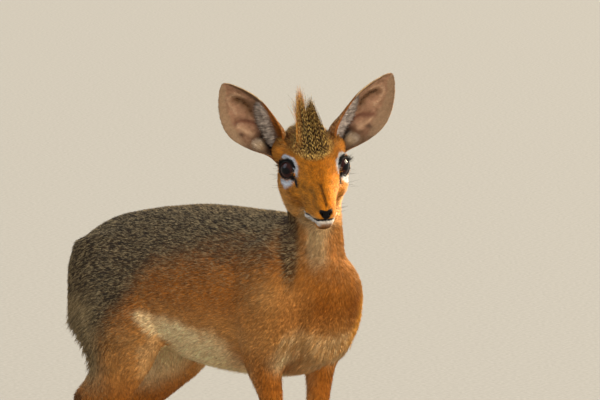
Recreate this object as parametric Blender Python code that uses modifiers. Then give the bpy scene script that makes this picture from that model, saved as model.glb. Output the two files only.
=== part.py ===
"""A life-size dik-dik that stands square, with its neck upright and its head turned to its right.

Metres, +Z up. The animal faces -Y, its left side is +X and its soles are on z = 0.
The flesh is modelled whole from lofts, melted together, and then parted into its named pieces.
"""

import math

import bmesh
import bpy
import numpy as np
from mathutils import Matrix, Vector

# Driving sizes, taken from the body and from the species
GAP = 0.0003
VOXEL = 0.0026
PLAN_SHIFT = Vector((0.0095, 0.0001, 0.0))
FLESH_TRIANGLES = 6000

# The head's own frame starts midway between the eyes: x to its left, -y to the nose, z up
HEAD_PLACE = Vector((-0.0227, -0.1543, 0.4192))
HEAD_TURN = math.radians(-34)
HEAD_TILT = math.radians(-2.5)
HEAD_PITCH = math.radians(38)

EYE_PLACE = Vector((0.0218, -0.001, 0.0))
EYE_RADIUS = 0.0112
EYE_OUTWARD = math.radians(46)
EYE_OPENING_WIDE = math.radians(58)
EYE_OPENING_HIGH = math.radians(50)
LID_THICKNESS = 0.0012
EYE_SLANT = math.radians(20)
EYE_HOLLOW = (0.0098, 0.0088, 0.0058)
LID_POINTS = 18

EAR_ROOT = Vector((0.0298, 0.027, -0.0045))
EAR_AXIS = Vector((0.588, 0.40, 0.703)).normalized()
EAR_FACING = Vector((0.46, -0.693, 0.52))
EAR_WALL = 0.0021
EAR_RINGS = 15
EAR_COLUMNS = 9
# Height up the ear, bulge to its outer edge, half width and half angle of its arc in degrees
EAR_ARCS = (
    (-0.010, 0.000, 0.0080, 158),
    (0.000, 0.000, 0.0100, 140),
    (0.012, 0.0010, 0.0156, 108),
    (0.024, 0.0034, 0.0212, 82),
    (0.038, 0.0052, 0.0244, 66),
    (0.052, 0.0047, 0.0235, 58),
    (0.066, 0.0034, 0.0180, 52),
    (0.077, 0.0020, 0.0108, 46),
    (0.0838, 0.0012, 0.0054, 40),
    (0.0868, 0.0008, 0.0016, 36),
)

# The crest, in the head's frame
CREST_ROWS = (4, 5, 6, 5, 4)
CREST_FRONT = 0.002
CREST_BACK = 0.036
CREST_HALF_WIDTH = 0.021
CREST_TIPS = (Vector((-0.0138, 0.043, 0.0670)), Vector((-0.0010, 0.040, 0.0520)))
CREST_PARTING = -0.003
CREST_SUNK = 0.0035
LOCK_WIDTH = 0.0090
LOCK_DEPTH = 0.0034

# The line of the mouth, in the head's frame
MOUTH_HALF_WIDTH = 0.0147
MOUTH_FRONT = -0.0645
MOUTH_CORNER = -0.0430
MOUTH_HEIGHT = -0.0095
MOUTH_DROP = 0.0111
MOUTH_LINE = 0.0009
MOUTH_POINTS = 19

HOOF_LENGTH = 0.029
HOOF_HEIGHT = 0.0165
CLAW_WIDTH = 0.0096
CLAW_GAP = 0.0014
CLAW_POINTS = 14

# Where the flesh is parted: each leg's hinge point, the cut's rise per metre outwards and rearwards, its reach fore
# and aft of the hinge, and the height of the knee or hock cut; then the planes at the top and the base of the neck
LEG_CUTS = {
    "foreleg": ((0.014, -0.108, 0.209), 0.85, 0.0, -0.044, 0.048, 0.118),
    "hindleg": ((0.008, 0.100, 0.244), 0.75, 0.25, -0.066, 0.095, 0.124),
}
LEG_REACH = 0.12
NECK_TOP = Vector((0, 0.047, -0.012))
NECK_TOP_TILT = math.radians(50)
NECK_BASE = Vector((0, -0.135, 0.345))
NECK_BASE_TILT = math.radians(36)

COLLECTION = "dik_dik"
# Each finish: its colour and roughness, and how the names of the objects that take it begin
FINISHES = {
    "grizzled_coat": ((0.21, 0.175, 0.13), 0.85, ("torso", "tail")),
    "tan_coat": ((0.42, 0.20, 0.075), 0.85, ("neck", "head", "foreleg", "hindleg")),
    "ear_skin": ((0.25, 0.17, 0.13), 0.7, ("ear",)),
    "hoof_horn": ((0.03, 0.022, 0.018), 0.45, ("hoof",)),
    "eye_glass": ((0.015, 0.007, 0.005), 0.08, ("eye",)),
}


def clear_scene():
    for obj in list(bpy.data.objects):
        bpy.data.objects.remove(obj, do_unlink=True)


def collection(name, hidden=False):
    made = bpy.data.collections.new(name)
    made.hide_render = hidden
    bpy.context.scene.collection.children.link(made)
    return made


def finish_material(name, colour, roughness):
    made = bpy.data.materials.new(name)
    made.use_nodes = True
    shader = made.node_tree.nodes["Principled BSDF"]
    shader.inputs["Base Color"].default_value = (*colour, 1)
    shader.inputs["Roughness"].default_value = roughness
    shader.inputs["Metallic"].default_value = 0
    return made


def add_object(name, mesh, place):
    made = bpy.data.objects.new(name, mesh)
    place.objects.link(made)
    return made


def head_matrix():
    """Carries a point of the head's own frame into the animal's frame."""
    turned = Matrix.Rotation(HEAD_TURN, 4, "Z") @ Matrix.Rotation(HEAD_TILT, 4, "Y")
    return Matrix.Translation(HEAD_PLACE) @ turned @ Matrix.Rotation(HEAD_PITCH, 4, "X")


def smooth_rows(rows, count):
    """Reads count rows off a smooth (Catmull-Rom) curve through the given rows, spaced by their distance."""
    rows = np.array(rows, float)
    steps = np.linalg.norm(np.diff(rows[:, :3], axis=0), axis=1)
    along = np.concatenate([[0], np.cumsum(steps)])
    slopes = np.gradient(rows, along, axis=0)
    at = np.linspace(0, along[-1], count)
    left = np.clip(np.searchsorted(along, at, side="right") - 1, 0, len(along) - 2)
    width = (along[left + 1] - along[left])[:, None]
    t = (at[:, None] - along[left][:, None]) / width
    return (
        (2 * t**3 - 3 * t**2 + 1) * rows[left]
        + (t**3 - 2 * t**2 + t) * width * slopes[left]
        + (3 * t**2 - 2 * t**3) * rows[left + 1]
        + (t**3 - t**2) * width * slopes[left + 1]
    )


def ring_mesh(name, rings, closed_loop=False):
    """Skins an array of rings (rings, points, 3) and closes both ends with a fan, or runs round a closed loop."""
    count, sides = rings.shape[:2]
    points = rings.reshape(-1, 3).tolist()
    faces = []
    for i in range(count if closed_loop else count - 1):
        for j in range(sides):
            k = (j + 1) % sides
            after = (i + 1) % count
            faces.append((i * sides + j, i * sides + k, after * sides + k, after * sides + j))
    if not closed_loop:
        points += [rings[0].mean(0).tolist(), rings[-1].mean(0).tolist()]
        first, last = len(points) - 2, len(points) - 1
        for j in range(sides):
            k = (j + 1) % sides
            faces.append((first, k, j))
            faces.append((last, (count - 1) * sides + j, (count - 1) * sides + k))
    mesh = bpy.data.meshes.new(name)
    mesh.from_pydata(points, [], faces)
    work = bmesh.new()
    work.from_mesh(mesh)
    bmesh.ops.recalc_face_normals(work, faces=work.faces)
    work.to_mesh(mesh)
    work.free()
    return mesh


def loft(name, rows, rings=40, sides=28, side_axis=(1, 0, 0)):
    """A body of egg-shaped sections. Each row holds x, y, z, half width, height above, height below, and egg, which
    narrows the upper half and widens the lower one. 'Above' is the path's direction crossed with the side axis."""
    path = smooth_rows(rows, rings)
    centre, wide, above, below, egg = path[:, :3], path[:, 3], path[:, 4], path[:, 5], path[:, 6]
    tangent = np.gradient(centre, axis=0)
    tangent /= np.linalg.norm(tangent, axis=1)[:, None]
    up = np.cross(tangent, np.array(side_axis, float))
    up /= np.linalg.norm(up, axis=1)[:, None]
    side = np.cross(up, tangent)
    angle = np.linspace(0, 2 * math.pi, sides, endpoint=False)
    across = np.cos(angle)[None] * wide[:, None] * (1 - egg[:, None] * np.sin(angle)[None])
    rise = np.sin(angle)[None] * np.where(np.sin(angle)[None] > 0, above[:, None], below[:, None])
    rings_at = centre[:, None] + across[..., None] * side[:, None] + rise[..., None] * up[:, None]
    return ring_mesh(name, rings_at)


def egg_mesh(name, centre, radii, turn=None, rings=16, sides=24):
    """An ellipsoid with its three radii along its own axes."""
    work = bmesh.new()
    bmesh.ops.create_uvsphere(work, u_segments=sides, v_segments=rings, radius=1)
    mesh = bpy.data.meshes.new(name)
    work.to_mesh(mesh)
    work.free()
    turned = turn or Matrix.Identity(4)
    mesh.transform(Matrix.Translation(centre) @ turned @ Matrix.Diagonal((*radii, 1)))
    return mesh


def tube_mesh(name, path, radii, sides=8, closed_loop=False):
    """A round tube along a path of points, whose radius may change along it."""
    path = np.array(path, float)
    if closed_loop:
        tangent = np.roll(path, -1, axis=0) - np.roll(path, 1, axis=0)
    else:
        tangent = np.gradient(path, axis=0)
    tangent /= np.linalg.norm(tangent, axis=1)[:, None]
    hint = np.array([0.31, 0.52, 0.79])
    side = np.cross(tangent, hint)
    side /= np.linalg.norm(side, axis=1)[:, None]
    up = np.cross(side, tangent)
    angle = np.linspace(0, 2 * math.pi, sides, endpoint=False)
    radii = np.broadcast_to(np.array(radii, float), (len(path),))[:, None, None]
    ring = np.cos(angle)[None, :, None] * side[:, None] + np.sin(angle)[None, :, None] * up[:, None]
    return ring_mesh(name, path[:, None] + radii * ring, closed_loop)


def mirrored(mesh):
    """A copy of a mesh on the other side of the plane x = 0, facing out."""
    made = mesh.copy()
    made.transform(Matrix.Diagonal((-1, 1, 1, 1)))
    made.flip_normals()
    return made


def evaluated_mesh(obj):
    """The mesh of an object after its modifiers, which are then removed."""
    graph = bpy.context.evaluated_depsgraph_get()
    made = bpy.data.meshes.new_from_object(obj.evaluated_get(graph))
    old = obj.data
    obj.modifiers.clear()
    obj.data = made
    bpy.data.meshes.remove(old)
    return obj


def keep_largest(obj):
    """Drops every closed surface of an object but the largest, measured by its volume."""
    work = bmesh.new()
    work.from_mesh(obj.data)
    left = set(work.verts)
    pieces = []
    while left:
        grown, edge_of = set(), [next(iter(left))]
        while edge_of:
            vert = edge_of.pop()
            if vert in grown:
                continue
            grown.add(vert)
            edge_of += [edge.other_vert(vert) for edge in vert.link_edges]
        pieces.append(grown)
        left -= grown

    def volume(piece):
        faces = {face for vert in piece for face in vert.link_faces}
        return sum(face.calc_area() * face.calc_center_median().dot(face.normal) / 3 for face in faces)

    largest = max(pieces, key=volume)
    bmesh.ops.delete(work, geom=[vert for vert in work.verts if vert not in largest], context="VERTS")
    bmesh.ops.triangulate(work, faces=work.faces)
    work.to_mesh(obj.data)
    work.free()
    return obj


def combine(obj, mesh, operation, cutters):
    """Joins a closed mesh to an object, cuts it away, or keeps only what lies in it."""
    tool = add_object(obj.name + "_tool", mesh, cutters)
    change = obj.modifiers.new("combine", "BOOLEAN")
    change.operation = operation
    change.solver = "MANIFOLD"
    change.object = tool
    evaluated_mesh(obj)
    bpy.data.objects.remove(tool)
    return obj


def join_all(obj, meshes, cutters):
    """One union of an object with a whole collection of closed pieces."""
    group = bpy.data.collections.new("pieces")
    cutters.children.link(group)
    for i, mesh in enumerate(meshes):
        add_object(f"piece_{i}", mesh, group)
    change = obj.modifiers.new("join", "BOOLEAN")
    change.operation = "UNION"
    change.solver = "MANIFOLD"
    change.operand_type = "COLLECTION"
    change.collection = group
    evaluated_mesh(obj)
    for piece in list(group.objects):
        bpy.data.objects.remove(piece)
    bpy.data.collections.remove(group)
    return keep_largest(obj)


def swollen(obj, depth=GAP):
    """The object's mesh, grown outwards by depth, for cutting what sits on it."""
    copy = obj.copy()
    copy.data = obj.data.copy()
    bpy.context.scene.collection.objects.link(copy)
    grow = copy.modifiers.new("grow", "DISPLACE")
    grow.mid_level = 0
    grow.strength = depth
    mesh = evaluated_mesh(copy).data
    bpy.data.objects.remove(copy)
    return mesh


def block(low, high, turn=None, grown=0.0):
    """A box from its low corner to its high corner, turned about the origin of its own frame."""
    work = bmesh.new()
    bmesh.ops.create_cube(work, size=1)
    mesh = bpy.data.meshes.new("block")
    work.to_mesh(mesh)
    work.free()
    size = [b - a + 2 * grown for a, b in zip(low, high)]
    middle = [(a + b) / 2 for a, b in zip(low, high)]
    mesh.transform((turn or Matrix.Identity(4)) @ Matrix.Translation(middle) @ Matrix.Diagonal((*size, 1)))
    return mesh


def part_off(flesh, name, low, high, turn, parts, cutters):
    """Takes what lies in a box from the flesh as its own object, and leaves a thin gap between the two."""
    piece = add_object(name, flesh.data.copy(), parts)
    combine(piece, block(low, high, turn), "INTERSECT", cutters)
    combine(flesh, block(low, high, turn, grown=GAP), "DIFFERENCE", cutters)
    keep_largest(flesh)
    return keep_largest(piece)


# The trunk, from the breast to the rump: y, top, bottom, half width and egg
TRUNK = (
    (-0.1755, 0.302, 0.262, 0.014, 0.0),
    (-0.167, 0.326, 0.243, 0.030, 0.0),
    (-0.147, 0.346, 0.227, 0.042, 0.02),
    (-0.120, 0.361, 0.215, 0.052, 0.08),
    (-0.092, 0.369, 0.210, 0.056, 0.14),
    (-0.050, 0.3705, 0.209, 0.060, 0.14),
    (0.000, 0.371, 0.212, 0.062, 0.12),
    (0.040, 0.3695, 0.220, 0.060, 0.08),
    (0.080, 0.364, 0.236, 0.056, 0.04),
    (0.115, 0.355, 0.250, 0.053, 0.02),
    (0.142, 0.341, 0.258, 0.048, 0.0),
    (0.163, 0.325, 0.260, 0.040, 0.0),
    (0.178, 0.308, 0.262, 0.028, 0.0),
    (0.185, 0.296, 0.270, 0.012, 0.0),
)

# The neck, upwards: x, y, z, half width, reach to the nape, reach to the throat, egg
NECK = (
    (0.000, -0.098, 0.288, 0.046, 0.050, 0.064, 0.0),
    (0.001, -0.120, 0.316, 0.040, 0.048, 0.052, 0.0),
    (0.001, -0.133, 0.342, 0.0285, 0.038, 0.0365, 0.0),
    (0.000, -0.135, 0.367, 0.0230, 0.0310, 0.0265, 0.0),
    (0.000, -0.131, 0.390, 0.0262, 0.0295, 0.0270, 0.0),
    (0.002, -0.125, 0.413, 0.0270, 0.0245, 0.0260, 0.0),
    (0.005, -0.121, 0.437, 0.0190, 0.0165, 0.0200, 0.0),
    (0.006, -0.121, 0.450, 0.0100, 0.0085, 0.0100, 0.0),
)

# The left hind leg, from the croup to the foot: x, y, z, half width, reach forward, reach back, egg
HIND_LEG = (
    (0.031, 0.120, 0.334, 0.019, 0.044, 0.044, 0.0),
    (0.036, 0.113, 0.306, 0.026, 0.060, 0.057, 0.0),
    (0.039, 0.103, 0.277, 0.028, 0.066, 0.065, 0.0),
    (0.040, 0.096, 0.249, 0.026, 0.063, 0.062, 0.0),
    (0.040, 0.099, 0.225, 0.0215, 0.050, 0.048, 0.0),
    (0.039, 0.108, 0.203, 0.0170, 0.037, 0.033, 0.0),
    (0.037, 0.122, 0.182, 0.0135, 0.029, 0.024, 0.0),
    (0.034, 0.139, 0.164, 0.0112, 0.018, 0.021, 0.0),
    (0.033, 0.149, 0.149, 0.0105, 0.0125, 0.015, 0.0),
    (0.032, 0.151, 0.130, 0.0085, 0.0105, 0.010, 0.0),
    (0.031, 0.149, 0.110, 0.0068, 0.008, 0.008, 0.0),
    (0.031, 0.147, 0.075, 0.0062, 0.0072, 0.0074, 0.0),
    (0.031, 0.145, 0.050, 0.0072, 0.0082, 0.0086, 0.0),
    (0.031, 0.142, 0.040, 0.0086, 0.0092, 0.0096, 0.0),
    (0.031, 0.136, 0.026, 0.0078, 0.0084, 0.0086, 0.0),
    (0.031, 0.131, 0.013, 0.0086, 0.0105, 0.0095, 0.0),
)

# The left hock's tendon, down to its point, and the heel below that point, in the same columns
TENDON = (
    (0.037, 0.120, 0.220, 0.009, 0.014, 0.014, 0.0),
    (0.036, 0.135, 0.200, 0.0066, 0.010, 0.009, 0.0),
    (0.035, 0.150, 0.184, 0.0062, 0.008, 0.007, 0.0),
    (0.034, 0.162, 0.171, 0.0066, 0.008, 0.007, 0.0),
    (0.034, 0.167, 0.165, 0.0050, 0.006, 0.005, 0.0),
)
HEEL = (
    (0.034, 0.163, 0.172, 0.0060, 0.007, 0.006, 0.0),
    (0.033, 0.160, 0.156, 0.0070, 0.009, 0.007, 0.0),
    (0.032, 0.156, 0.138, 0.0066, 0.008, 0.006, 0.0),
    (0.031, 0.152, 0.118, 0.0056, 0.006, 0.006, 0.0),
)

# The left foreleg, from the shoulder blade to the foot, in the same columns
FORE_LEG = (
    (0.040, -0.090, 0.340, 0.013, 0.024, 0.024, 0.0),
    (0.044, -0.104, 0.312, 0.017, 0.034, 0.034, 0.0),
    (0.045, -0.113, 0.280, 0.019, 0.036, 0.038, 0.0),
    (0.042, -0.108, 0.250, 0.018, 0.030, 0.034, 0.0),
    (0.039, -0.101, 0.228, 0.0155, 0.022, 0.023, 0.0),
    (0.036, -0.103, 0.205, 0.0130, 0.016, 0.015, 0.0),
    (0.034, -0.104, 0.180, 0.0110, 0.0125, 0.013, 0.0),
    (0.033, -0.105, 0.150, 0.0092, 0.0102, 0.0105, 0.0),
    (0.032, -0.106, 0.130, 0.0096, 0.0108, 0.0106, 0.0),
    (0.031, -0.105, 0.112, 0.0074, 0.0082, 0.0084, 0.0),
    (0.031, -0.103, 0.080, 0.0062, 0.0068, 0.0072, 0.0),
    (0.030, -0.102, 0.052, 0.0068, 0.0074, 0.0080, 0.0),
    (0.030, -0.103, 0.040, 0.0083, 0.0088, 0.0094, 0.0),
    (0.030, -0.108, 0.026, 0.0076, 0.0082, 0.0084, 0.0),
    (0.030, -0.113, 0.013, 0.0086, 0.0105, 0.0095, 0.0),
)

# How far each foot stands from its place in the table above, by which the steps differ
STEPS = {
    "foreleg_left": 0.004,
    "foreleg_right": -0.020,
    "hindleg_left": 0.029,
    "hindleg_right": -0.003,
}
STEP_HEIGHTS = {"foreleg": (0.245, 0.05), "hindleg": (0.245, 0.15)}

# The skull and muzzle in the head's frame, from the nape to the nose: y, middle, half width, above, below, egg
SKULL = (
    (0.055, -0.010, 0.010, 0.008, 0.010, 0.0),
    (0.048, -0.006, 0.020, 0.0165, 0.019, 0.0),
    (0.034, -0.005, 0.0265, 0.0255, 0.027, 0.04),
    (0.016, -0.006, 0.0295, 0.0290, 0.032, 0.08),
    (0.000, -0.007, 0.0290, 0.0280, 0.033, 0.04),
    (-0.013, -0.007, 0.0260, 0.0245, 0.0300, -0.02),
    (-0.026, -0.006, 0.0200, 0.0205, 0.0250, -0.04),
    (-0.039, -0.006, 0.0145, 0.0180, 0.0190, -0.02),
    (-0.050, -0.0065, 0.0124, 0.0155, 0.0180, 0.0),
    (-0.058, -0.0080, 0.0112, 0.0125, 0.0160, 0.04),
    (-0.0635, -0.0095, 0.0088, 0.0088, 0.0112, 0.06),
    (-0.0665, -0.0095, 0.0040, 0.0036, 0.0052, 0.0),
)

# The tail, from inside the rump down to its tip: x, y, z, half width, inner depth, outer depth, egg
TAIL = (
    (0.0, 0.163, 0.308, 0.009, 0.007, 0.007, 0.0),
    (0.0, 0.180, 0.303, 0.010, 0.0075, 0.0075, 0.0),
    (0.0, 0.1905, 0.292, 0.0115, 0.0065, 0.0065, 0.0),
    (0.0, 0.1935, 0.278, 0.0110, 0.0050, 0.0050, 0.0),
    (0.0, 0.1925, 0.266, 0.0075, 0.0035, 0.0035, 0.0),
    (0.0, 0.1905, 0.257, 0.0018, 0.0012, 0.0012, 0.0),
)


def trunk_mesh():
    rows = [(0, y, (top + low) / 2, wide, (top - low) / 2, (top - low) / 2, egg) for y, top, low, wide, egg in TRUNK]
    return loft("trunk", rows, rings=60, sides=48)


def stepped(rows, side, step, heights):
    """A leg's rows for one side, moved fore or aft by none of its step at the first height and all at the second."""
    made = []
    for x, y, z, *reach in rows:
        share = min(1, max(0, (heights[0] - z) / (heights[0] - heights[1])))
        made.append((side * x, y + step * share, z, *reach))
    return made


def leg_rows(name):
    """The leg's lofts as lists of rows."""
    side = 1 if name.endswith("left") else -1
    kind = name.split("_")[0]
    tables = (HIND_LEG, TENDON, HEEL) if kind == "hindleg" else (FORE_LEG,)
    return [stepped(table, side, STEPS[name], STEP_HEIGHTS[kind]) for table in tables]


def head_meshes():
    """The skull, brows, cheeks and lips, placed in the animal's frame."""
    rows = [(0, y, mid, wide, above, below, egg) for y, mid, wide, above, below, egg in SKULL]
    meshes = [loft("skull", rows, rings=44, sides=40)]
    halves = [
        egg_mesh("brow", (0.0213, 0.001, 0.0008), (0.0134, 0.0152, 0.0138)),
        egg_mesh("cheek", (0.0170, 0.004, -0.023), (0.0156, 0.026, 0.0210)),
        egg_mesh("cheek_bone", (0.0190, -0.004, -0.011), (0.0138, 0.026, 0.0130)),
        egg_mesh("lip", (0.0080, -0.044, -0.0160), (0.0070, 0.0175, 0.0085)),
        egg_mesh("jaw", (0.0145, -0.003, -0.036), (0.0140, 0.024, 0.0120)),
        egg_mesh("ear_root", (0.0245, 0.028, -0.004), (0.0110, 0.0130, 0.0150)),
    ]
    meshes += halves + [mirrored(half) for half in halves]
    meshes += [
        egg_mesh("nose_bulb", (0, -0.0545, -0.0020), (0.0092, 0.0108, 0.0088)),
        egg_mesh("chin", (0, -0.0515, -0.0185), (0.0080, 0.0112, 0.0056)),
    ]
    for mesh in meshes:
        mesh.transform(head_matrix())
    return meshes


def melted_flesh(parts):
    """Every loft of the body melted into one closed surface, softened, and brought down to few triangles."""
    meshes = [trunk_mesh(), loft("neck", NECK, rings=36, sides=36), *head_meshes()]
    for name in STEPS:
        meshes += [loft(name, rows, rings=60, sides=24) for rows in leg_rows(name)]
    work = bmesh.new()
    for mesh in meshes:
        work.from_mesh(mesh)
    whole = bpy.data.meshes.new("flesh")
    work.to_mesh(whole)
    work.free()
    flesh = add_object("torso", whole, parts)
    melt = flesh.modifiers.new("melt", "REMESH")
    melt.mode = "VOXEL"
    melt.voxel_size = VOXEL
    evaluated_mesh(flesh)
    soften(flesh.data)
    keep_largest(flesh)
    thin_out = flesh.modifiers.new("thin_out", "DECIMATE")
    thin_out.ratio = FLESH_TRIANGLES / len(flesh.data.polygons)
    return keep_largest(evaluated_mesh(flesh))


def soften(mesh):
    """Rounds the creases between the lofts: well on the trunk and thighs, a little on the head and lower legs."""
    work = bmesh.new()
    work.from_mesh(mesh)
    to_head = head_matrix().inverted()

    def on_head(vert):
        return (to_head @ vert.co).z > -0.045 and vert.co.z > 0.36 and vert.co.y < -0.10

    low = [vert for vert in work.verts if vert.co.z < 0.19]
    head = [vert for vert in work.verts if vert.co.z >= 0.19 and on_head(vert)]
    trunk = [vert for vert in work.verts if vert.co.z >= 0.19 and not on_head(vert)]
    for verts, rounds in ((trunk, 16), (head, 8), (low, 3)):
        for _ in range(rounds):
            bmesh.ops.smooth_vert(
                work, verts=verts, factor=0.5, use_axis_x=True, use_axis_y=True, use_axis_z=True
            )
    work.to_mesh(mesh)
    work.free()


def eye_frame(side):
    """The eye's own frame in the animal's frame: x along the slit towards the nose, y up the lids, z out of the eye."""
    forward = math.cos(EYE_OUTWARD)
    out = Vector((side * math.sin(EYE_OUTWARD), -forward * math.cos(HEAD_PITCH), forward * math.sin(HEAD_PITCH)))
    up = Vector((0, math.sin(EYE_SLANT), math.cos(EYE_SLANT)))
    up = (up - up.dot(out) * out).normalized()
    along = up.cross(out)
    turned = Matrix((along, up, out)).transposed().to_4x4()
    centre = Vector((side * EYE_PLACE.x, EYE_PLACE.y, EYE_PLACE.z))
    return head_matrix() @ Matrix.Translation(centre) @ turned


def lid_rim(side, reach):
    """Points along the edge of the lids, at a distance of reach from the eye's centre."""
    frame = eye_frame(side)
    points = []
    for i in range(LID_POINTS):
        angle = 2 * math.pi * i / LID_POINTS
        across = math.tan(EYE_OPENING_WIDE) * math.cos(angle)
        rise = math.tan(EYE_OPENING_HIGH) * math.sin(angle)
        points.append(frame @ (Vector((across, rise, 1)).normalized() * reach))
    return points


def ear_frame(side):
    """The ear's own frame: x towards its outer edge, y out of the cup, z from its root to its tip."""
    across = Vector((side, 1, 1))
    axis = EAR_AXIS * across
    face = EAR_FACING * across
    face = (face - face.dot(axis) * axis).normalized()
    outer = axis.cross(face) if side > 0 else face.cross(axis)
    turned = Matrix((outer, face, axis)).transposed().to_4x4()
    root = Vector((side * EAR_ROOT.x, EAR_ROOT.y, EAR_ROOT.z))
    return head_matrix() @ Matrix.Translation(root) @ turned


def ear_surface():
    """The ear's inner face as a grid (length, width, 3): arcs that are almost a tube at the root and open to the tip."""
    rows = smooth_rows([(0, 0, z, *rest) for z, *rest in EAR_ARCS], EAR_RINGS)
    height, bulge, half, spread = rows[:, 2], rows[:, 3], rows[:, 4], rows[:, 5]
    spread = np.radians(spread)
    radius = half / np.sin(np.minimum(spread, math.pi / 2))
    turn = np.linspace(-1, 1, EAR_COLUMNS)[None] * spread[:, None]
    across = bulge[:, None] + radius[:, None] * np.sin(turn)
    depth = -radius[:, None] * (np.cos(turn) - np.cos(spread)[:, None])
    return np.stack([across, depth, np.broadcast_to(height[:, None], across.shape)], axis=2)


def ear_object(name, side, parts):
    """The cup of one ear: its inner face given a wall outwards."""
    grid = ear_surface()
    rings, columns = grid.shape[:2]
    faces = []
    for i in range(rings - 1):
        for j in range(columns - 1):
            a, b = i * columns + j, (i + 1) * columns + j
            faces += [(a, a + 1, b + 1), (a, b + 1, b)]
    mesh = bpy.data.meshes.new(name)
    mesh.from_pydata(grid.reshape(-1, 3).tolist(), [], faces)
    if side > 0:
        mesh.flip_normals()
    mesh.transform(ear_frame(side))
    ear = add_object(name, mesh, parts)
    wall = ear.modifiers.new("wall", "SOLIDIFY")
    wall.thickness = EAR_WALL
    wall.offset = -1
    return evaluated_mesh(ear)


def lock_mesh(root, direction, lean, length, width, depth):
    """A flat lock of hair that tapers to its tip and bends towards lean."""
    rings = []
    flat = direction.cross(lean)
    flat = flat.normalized() if flat.length > 1e-6 else Vector((1, 0, 0))
    for share, size in ((0, 0.8), (0.4, 1.0), (0.75, 0.62), (1, 0.12)):
        centre = root + direction * (length * share) + lean * (share * share)
        thick = (direction + lean * (2 * share / length)).normalized().cross(flat)
        wide, deep = flat * (width * size / 2), thick * (depth * size / 2)
        rings.append([centre + wide, centre + deep, centre - wide, centre - deep])
    return ring_mesh("lock", np.array(rings, float))


def crest_meshes(head):
    """The tuft on the crown: rows of locks that gather towards two tips, short at its rim and long in its middle."""
    draw = np.random.default_rng(7)
    to_head = head_matrix()
    out_of_head = to_head.inverted()
    turned = to_head.to_3x3()
    made = []
    for row, count in enumerate(CREST_ROWS):
        back = row / (len(CREST_ROWS) - 1)
        y = CREST_FRONT + (CREST_BACK - CREST_FRONT) * back
        for column in range(count):
            across = 2 * (column + 0.5) / count - 1
            x = across * CREST_HALF_WIDTH + draw.uniform(-1, 1) * 0.0012
            hit, place, _, _ = head.ray_cast(to_head @ Vector((x, y, 0.08)), turned @ Vector((0, 0, -1)))
            if not hit:
                continue
            place = out_of_head @ place
            rim = max(abs(across), abs(2 * back - 1))
            towards = CREST_TIPS[place.x > CREST_PARTING] - place
            length = towards.length * (1.0 - 0.72 * rim**1.5) * draw.uniform(0.88, 1.04)
            rise = (towards.normalized() + Vector((0.5 * across, -0.35 * (1 - back), 0.3))).normalized()
            lean = towards.normalized() * length - rise * length
            root = to_head @ (place - rise * CREST_SUNK)
            made.append(
                lock_mesh(root, turned @ rise, turned @ lean, length + CREST_SUNK, LOCK_WIDTH, LOCK_DEPTH)
            )
    return made


def on_surface(obj, point):
    """The place on an object's surface that lies nearest to a point of the head's frame, in the animal's frame."""
    hit, place, normal, _ = obj.closest_point_on_mesh(head_matrix() @ Vector(point))
    return place, normal


def mouth_mesh(head):
    """The line of the mouth as a thin tube on the muzzle's surface, from corner to corner."""
    path = []
    for i in range(MOUTH_POINTS):
        turn = math.radians(90) * (2 * i / (MOUTH_POINTS - 1) - 1)
        share = abs(math.sin(turn))
        point = (
            MOUTH_HALF_WIDTH * math.sin(turn),
            MOUTH_FRONT + (MOUTH_CORNER - MOUTH_FRONT) * share**2.2,
            MOUTH_HEIGHT - MOUTH_DROP * share**1.5,
        )
        path.append(on_surface(head, point)[0])
    return tube_mesh("mouth", path, MOUTH_LINE, sides=5)


def nostril_mesh(side):
    turned = Matrix.Rotation(side * math.radians(30), 4, "Z") @ Matrix.Rotation(math.radians(-25), 4, "X")
    mesh = egg_mesh("nostril", (side * 0.0050, -0.0640, -0.0035), (0.0014, 0.0040, 0.0021), turned, 6, 8)
    mesh.transform(head_matrix())
    return mesh


def eye_object(name, side, parts):
    mesh = egg_mesh(name, (0, 0, 0), (EYE_RADIUS,) * 3, rings=12, sides=16)
    mesh.transform(eye_frame(side))
    return add_object(name, mesh, parts)


def shape_head(head, cutters):
    """Adds the lids and the crest to the head, and opens its eyes, mouth and nostrils."""
    lids = [tube_mesh("lids", lid_rim(side, EYE_RADIUS), LID_THICKNESS, 5, closed_loop=True) for side in (1, -1)]
    for side in (1, -1):
        opening = egg_mesh("opening", (0, 0, EYE_RADIUS), EYE_HOLLOW, rings=10, sides=16)
        opening.transform(eye_frame(side))
        combine(head, opening, "DIFFERENCE", cutters)
    crest = crest_meshes(head)
    mouth = mouth_mesh(head)
    join_all(head, lids + crest, cutters)
    combine(head, mouth, "DIFFERENCE", cutters)
    for side in (1, -1):
        combine(head, nostril_mesh(side), "DIFFERENCE", cutters)
        socket = egg_mesh("socket", (0, 0, 0), (EYE_RADIUS + GAP,) * 3, rings=12, sides=16)
        socket.transform(eye_frame(side))
        combine(head, socket, "DIFFERENCE", cutters)
    keep_largest(head)


def claw_mesh(side_of_foot, foot, height):
    """One half of a cloven hoof: a pointed outline that draws back and in as it rises to the coronet."""
    rings = []
    for share, length, width, back in ((0, 1.0, 1.0, 0.0), (0.4, 0.97, 1.0, 0.0012), (1, 0.68, 0.86, 0.0042)):
        ring = []
        for i in range(CLAW_POINTS):
            angle = 2 * math.pi * i / CLAW_POINTS
            front = (1 + math.cos(angle)) / 2
            across = CLAW_WIDTH / 2 * width * math.sin(angle) * (1 - 0.3 * front)
            along = back - HOOF_LENGTH / 2 * length * math.cos(angle)
            centre = side_of_foot * (CLAW_WIDTH + CLAW_GAP) / 2
            ring.append((foot[0] + centre + across, foot[1] + along, height * share))
        rings.append(ring)
    return ring_mesh("claw", np.array(rings, float))


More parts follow.
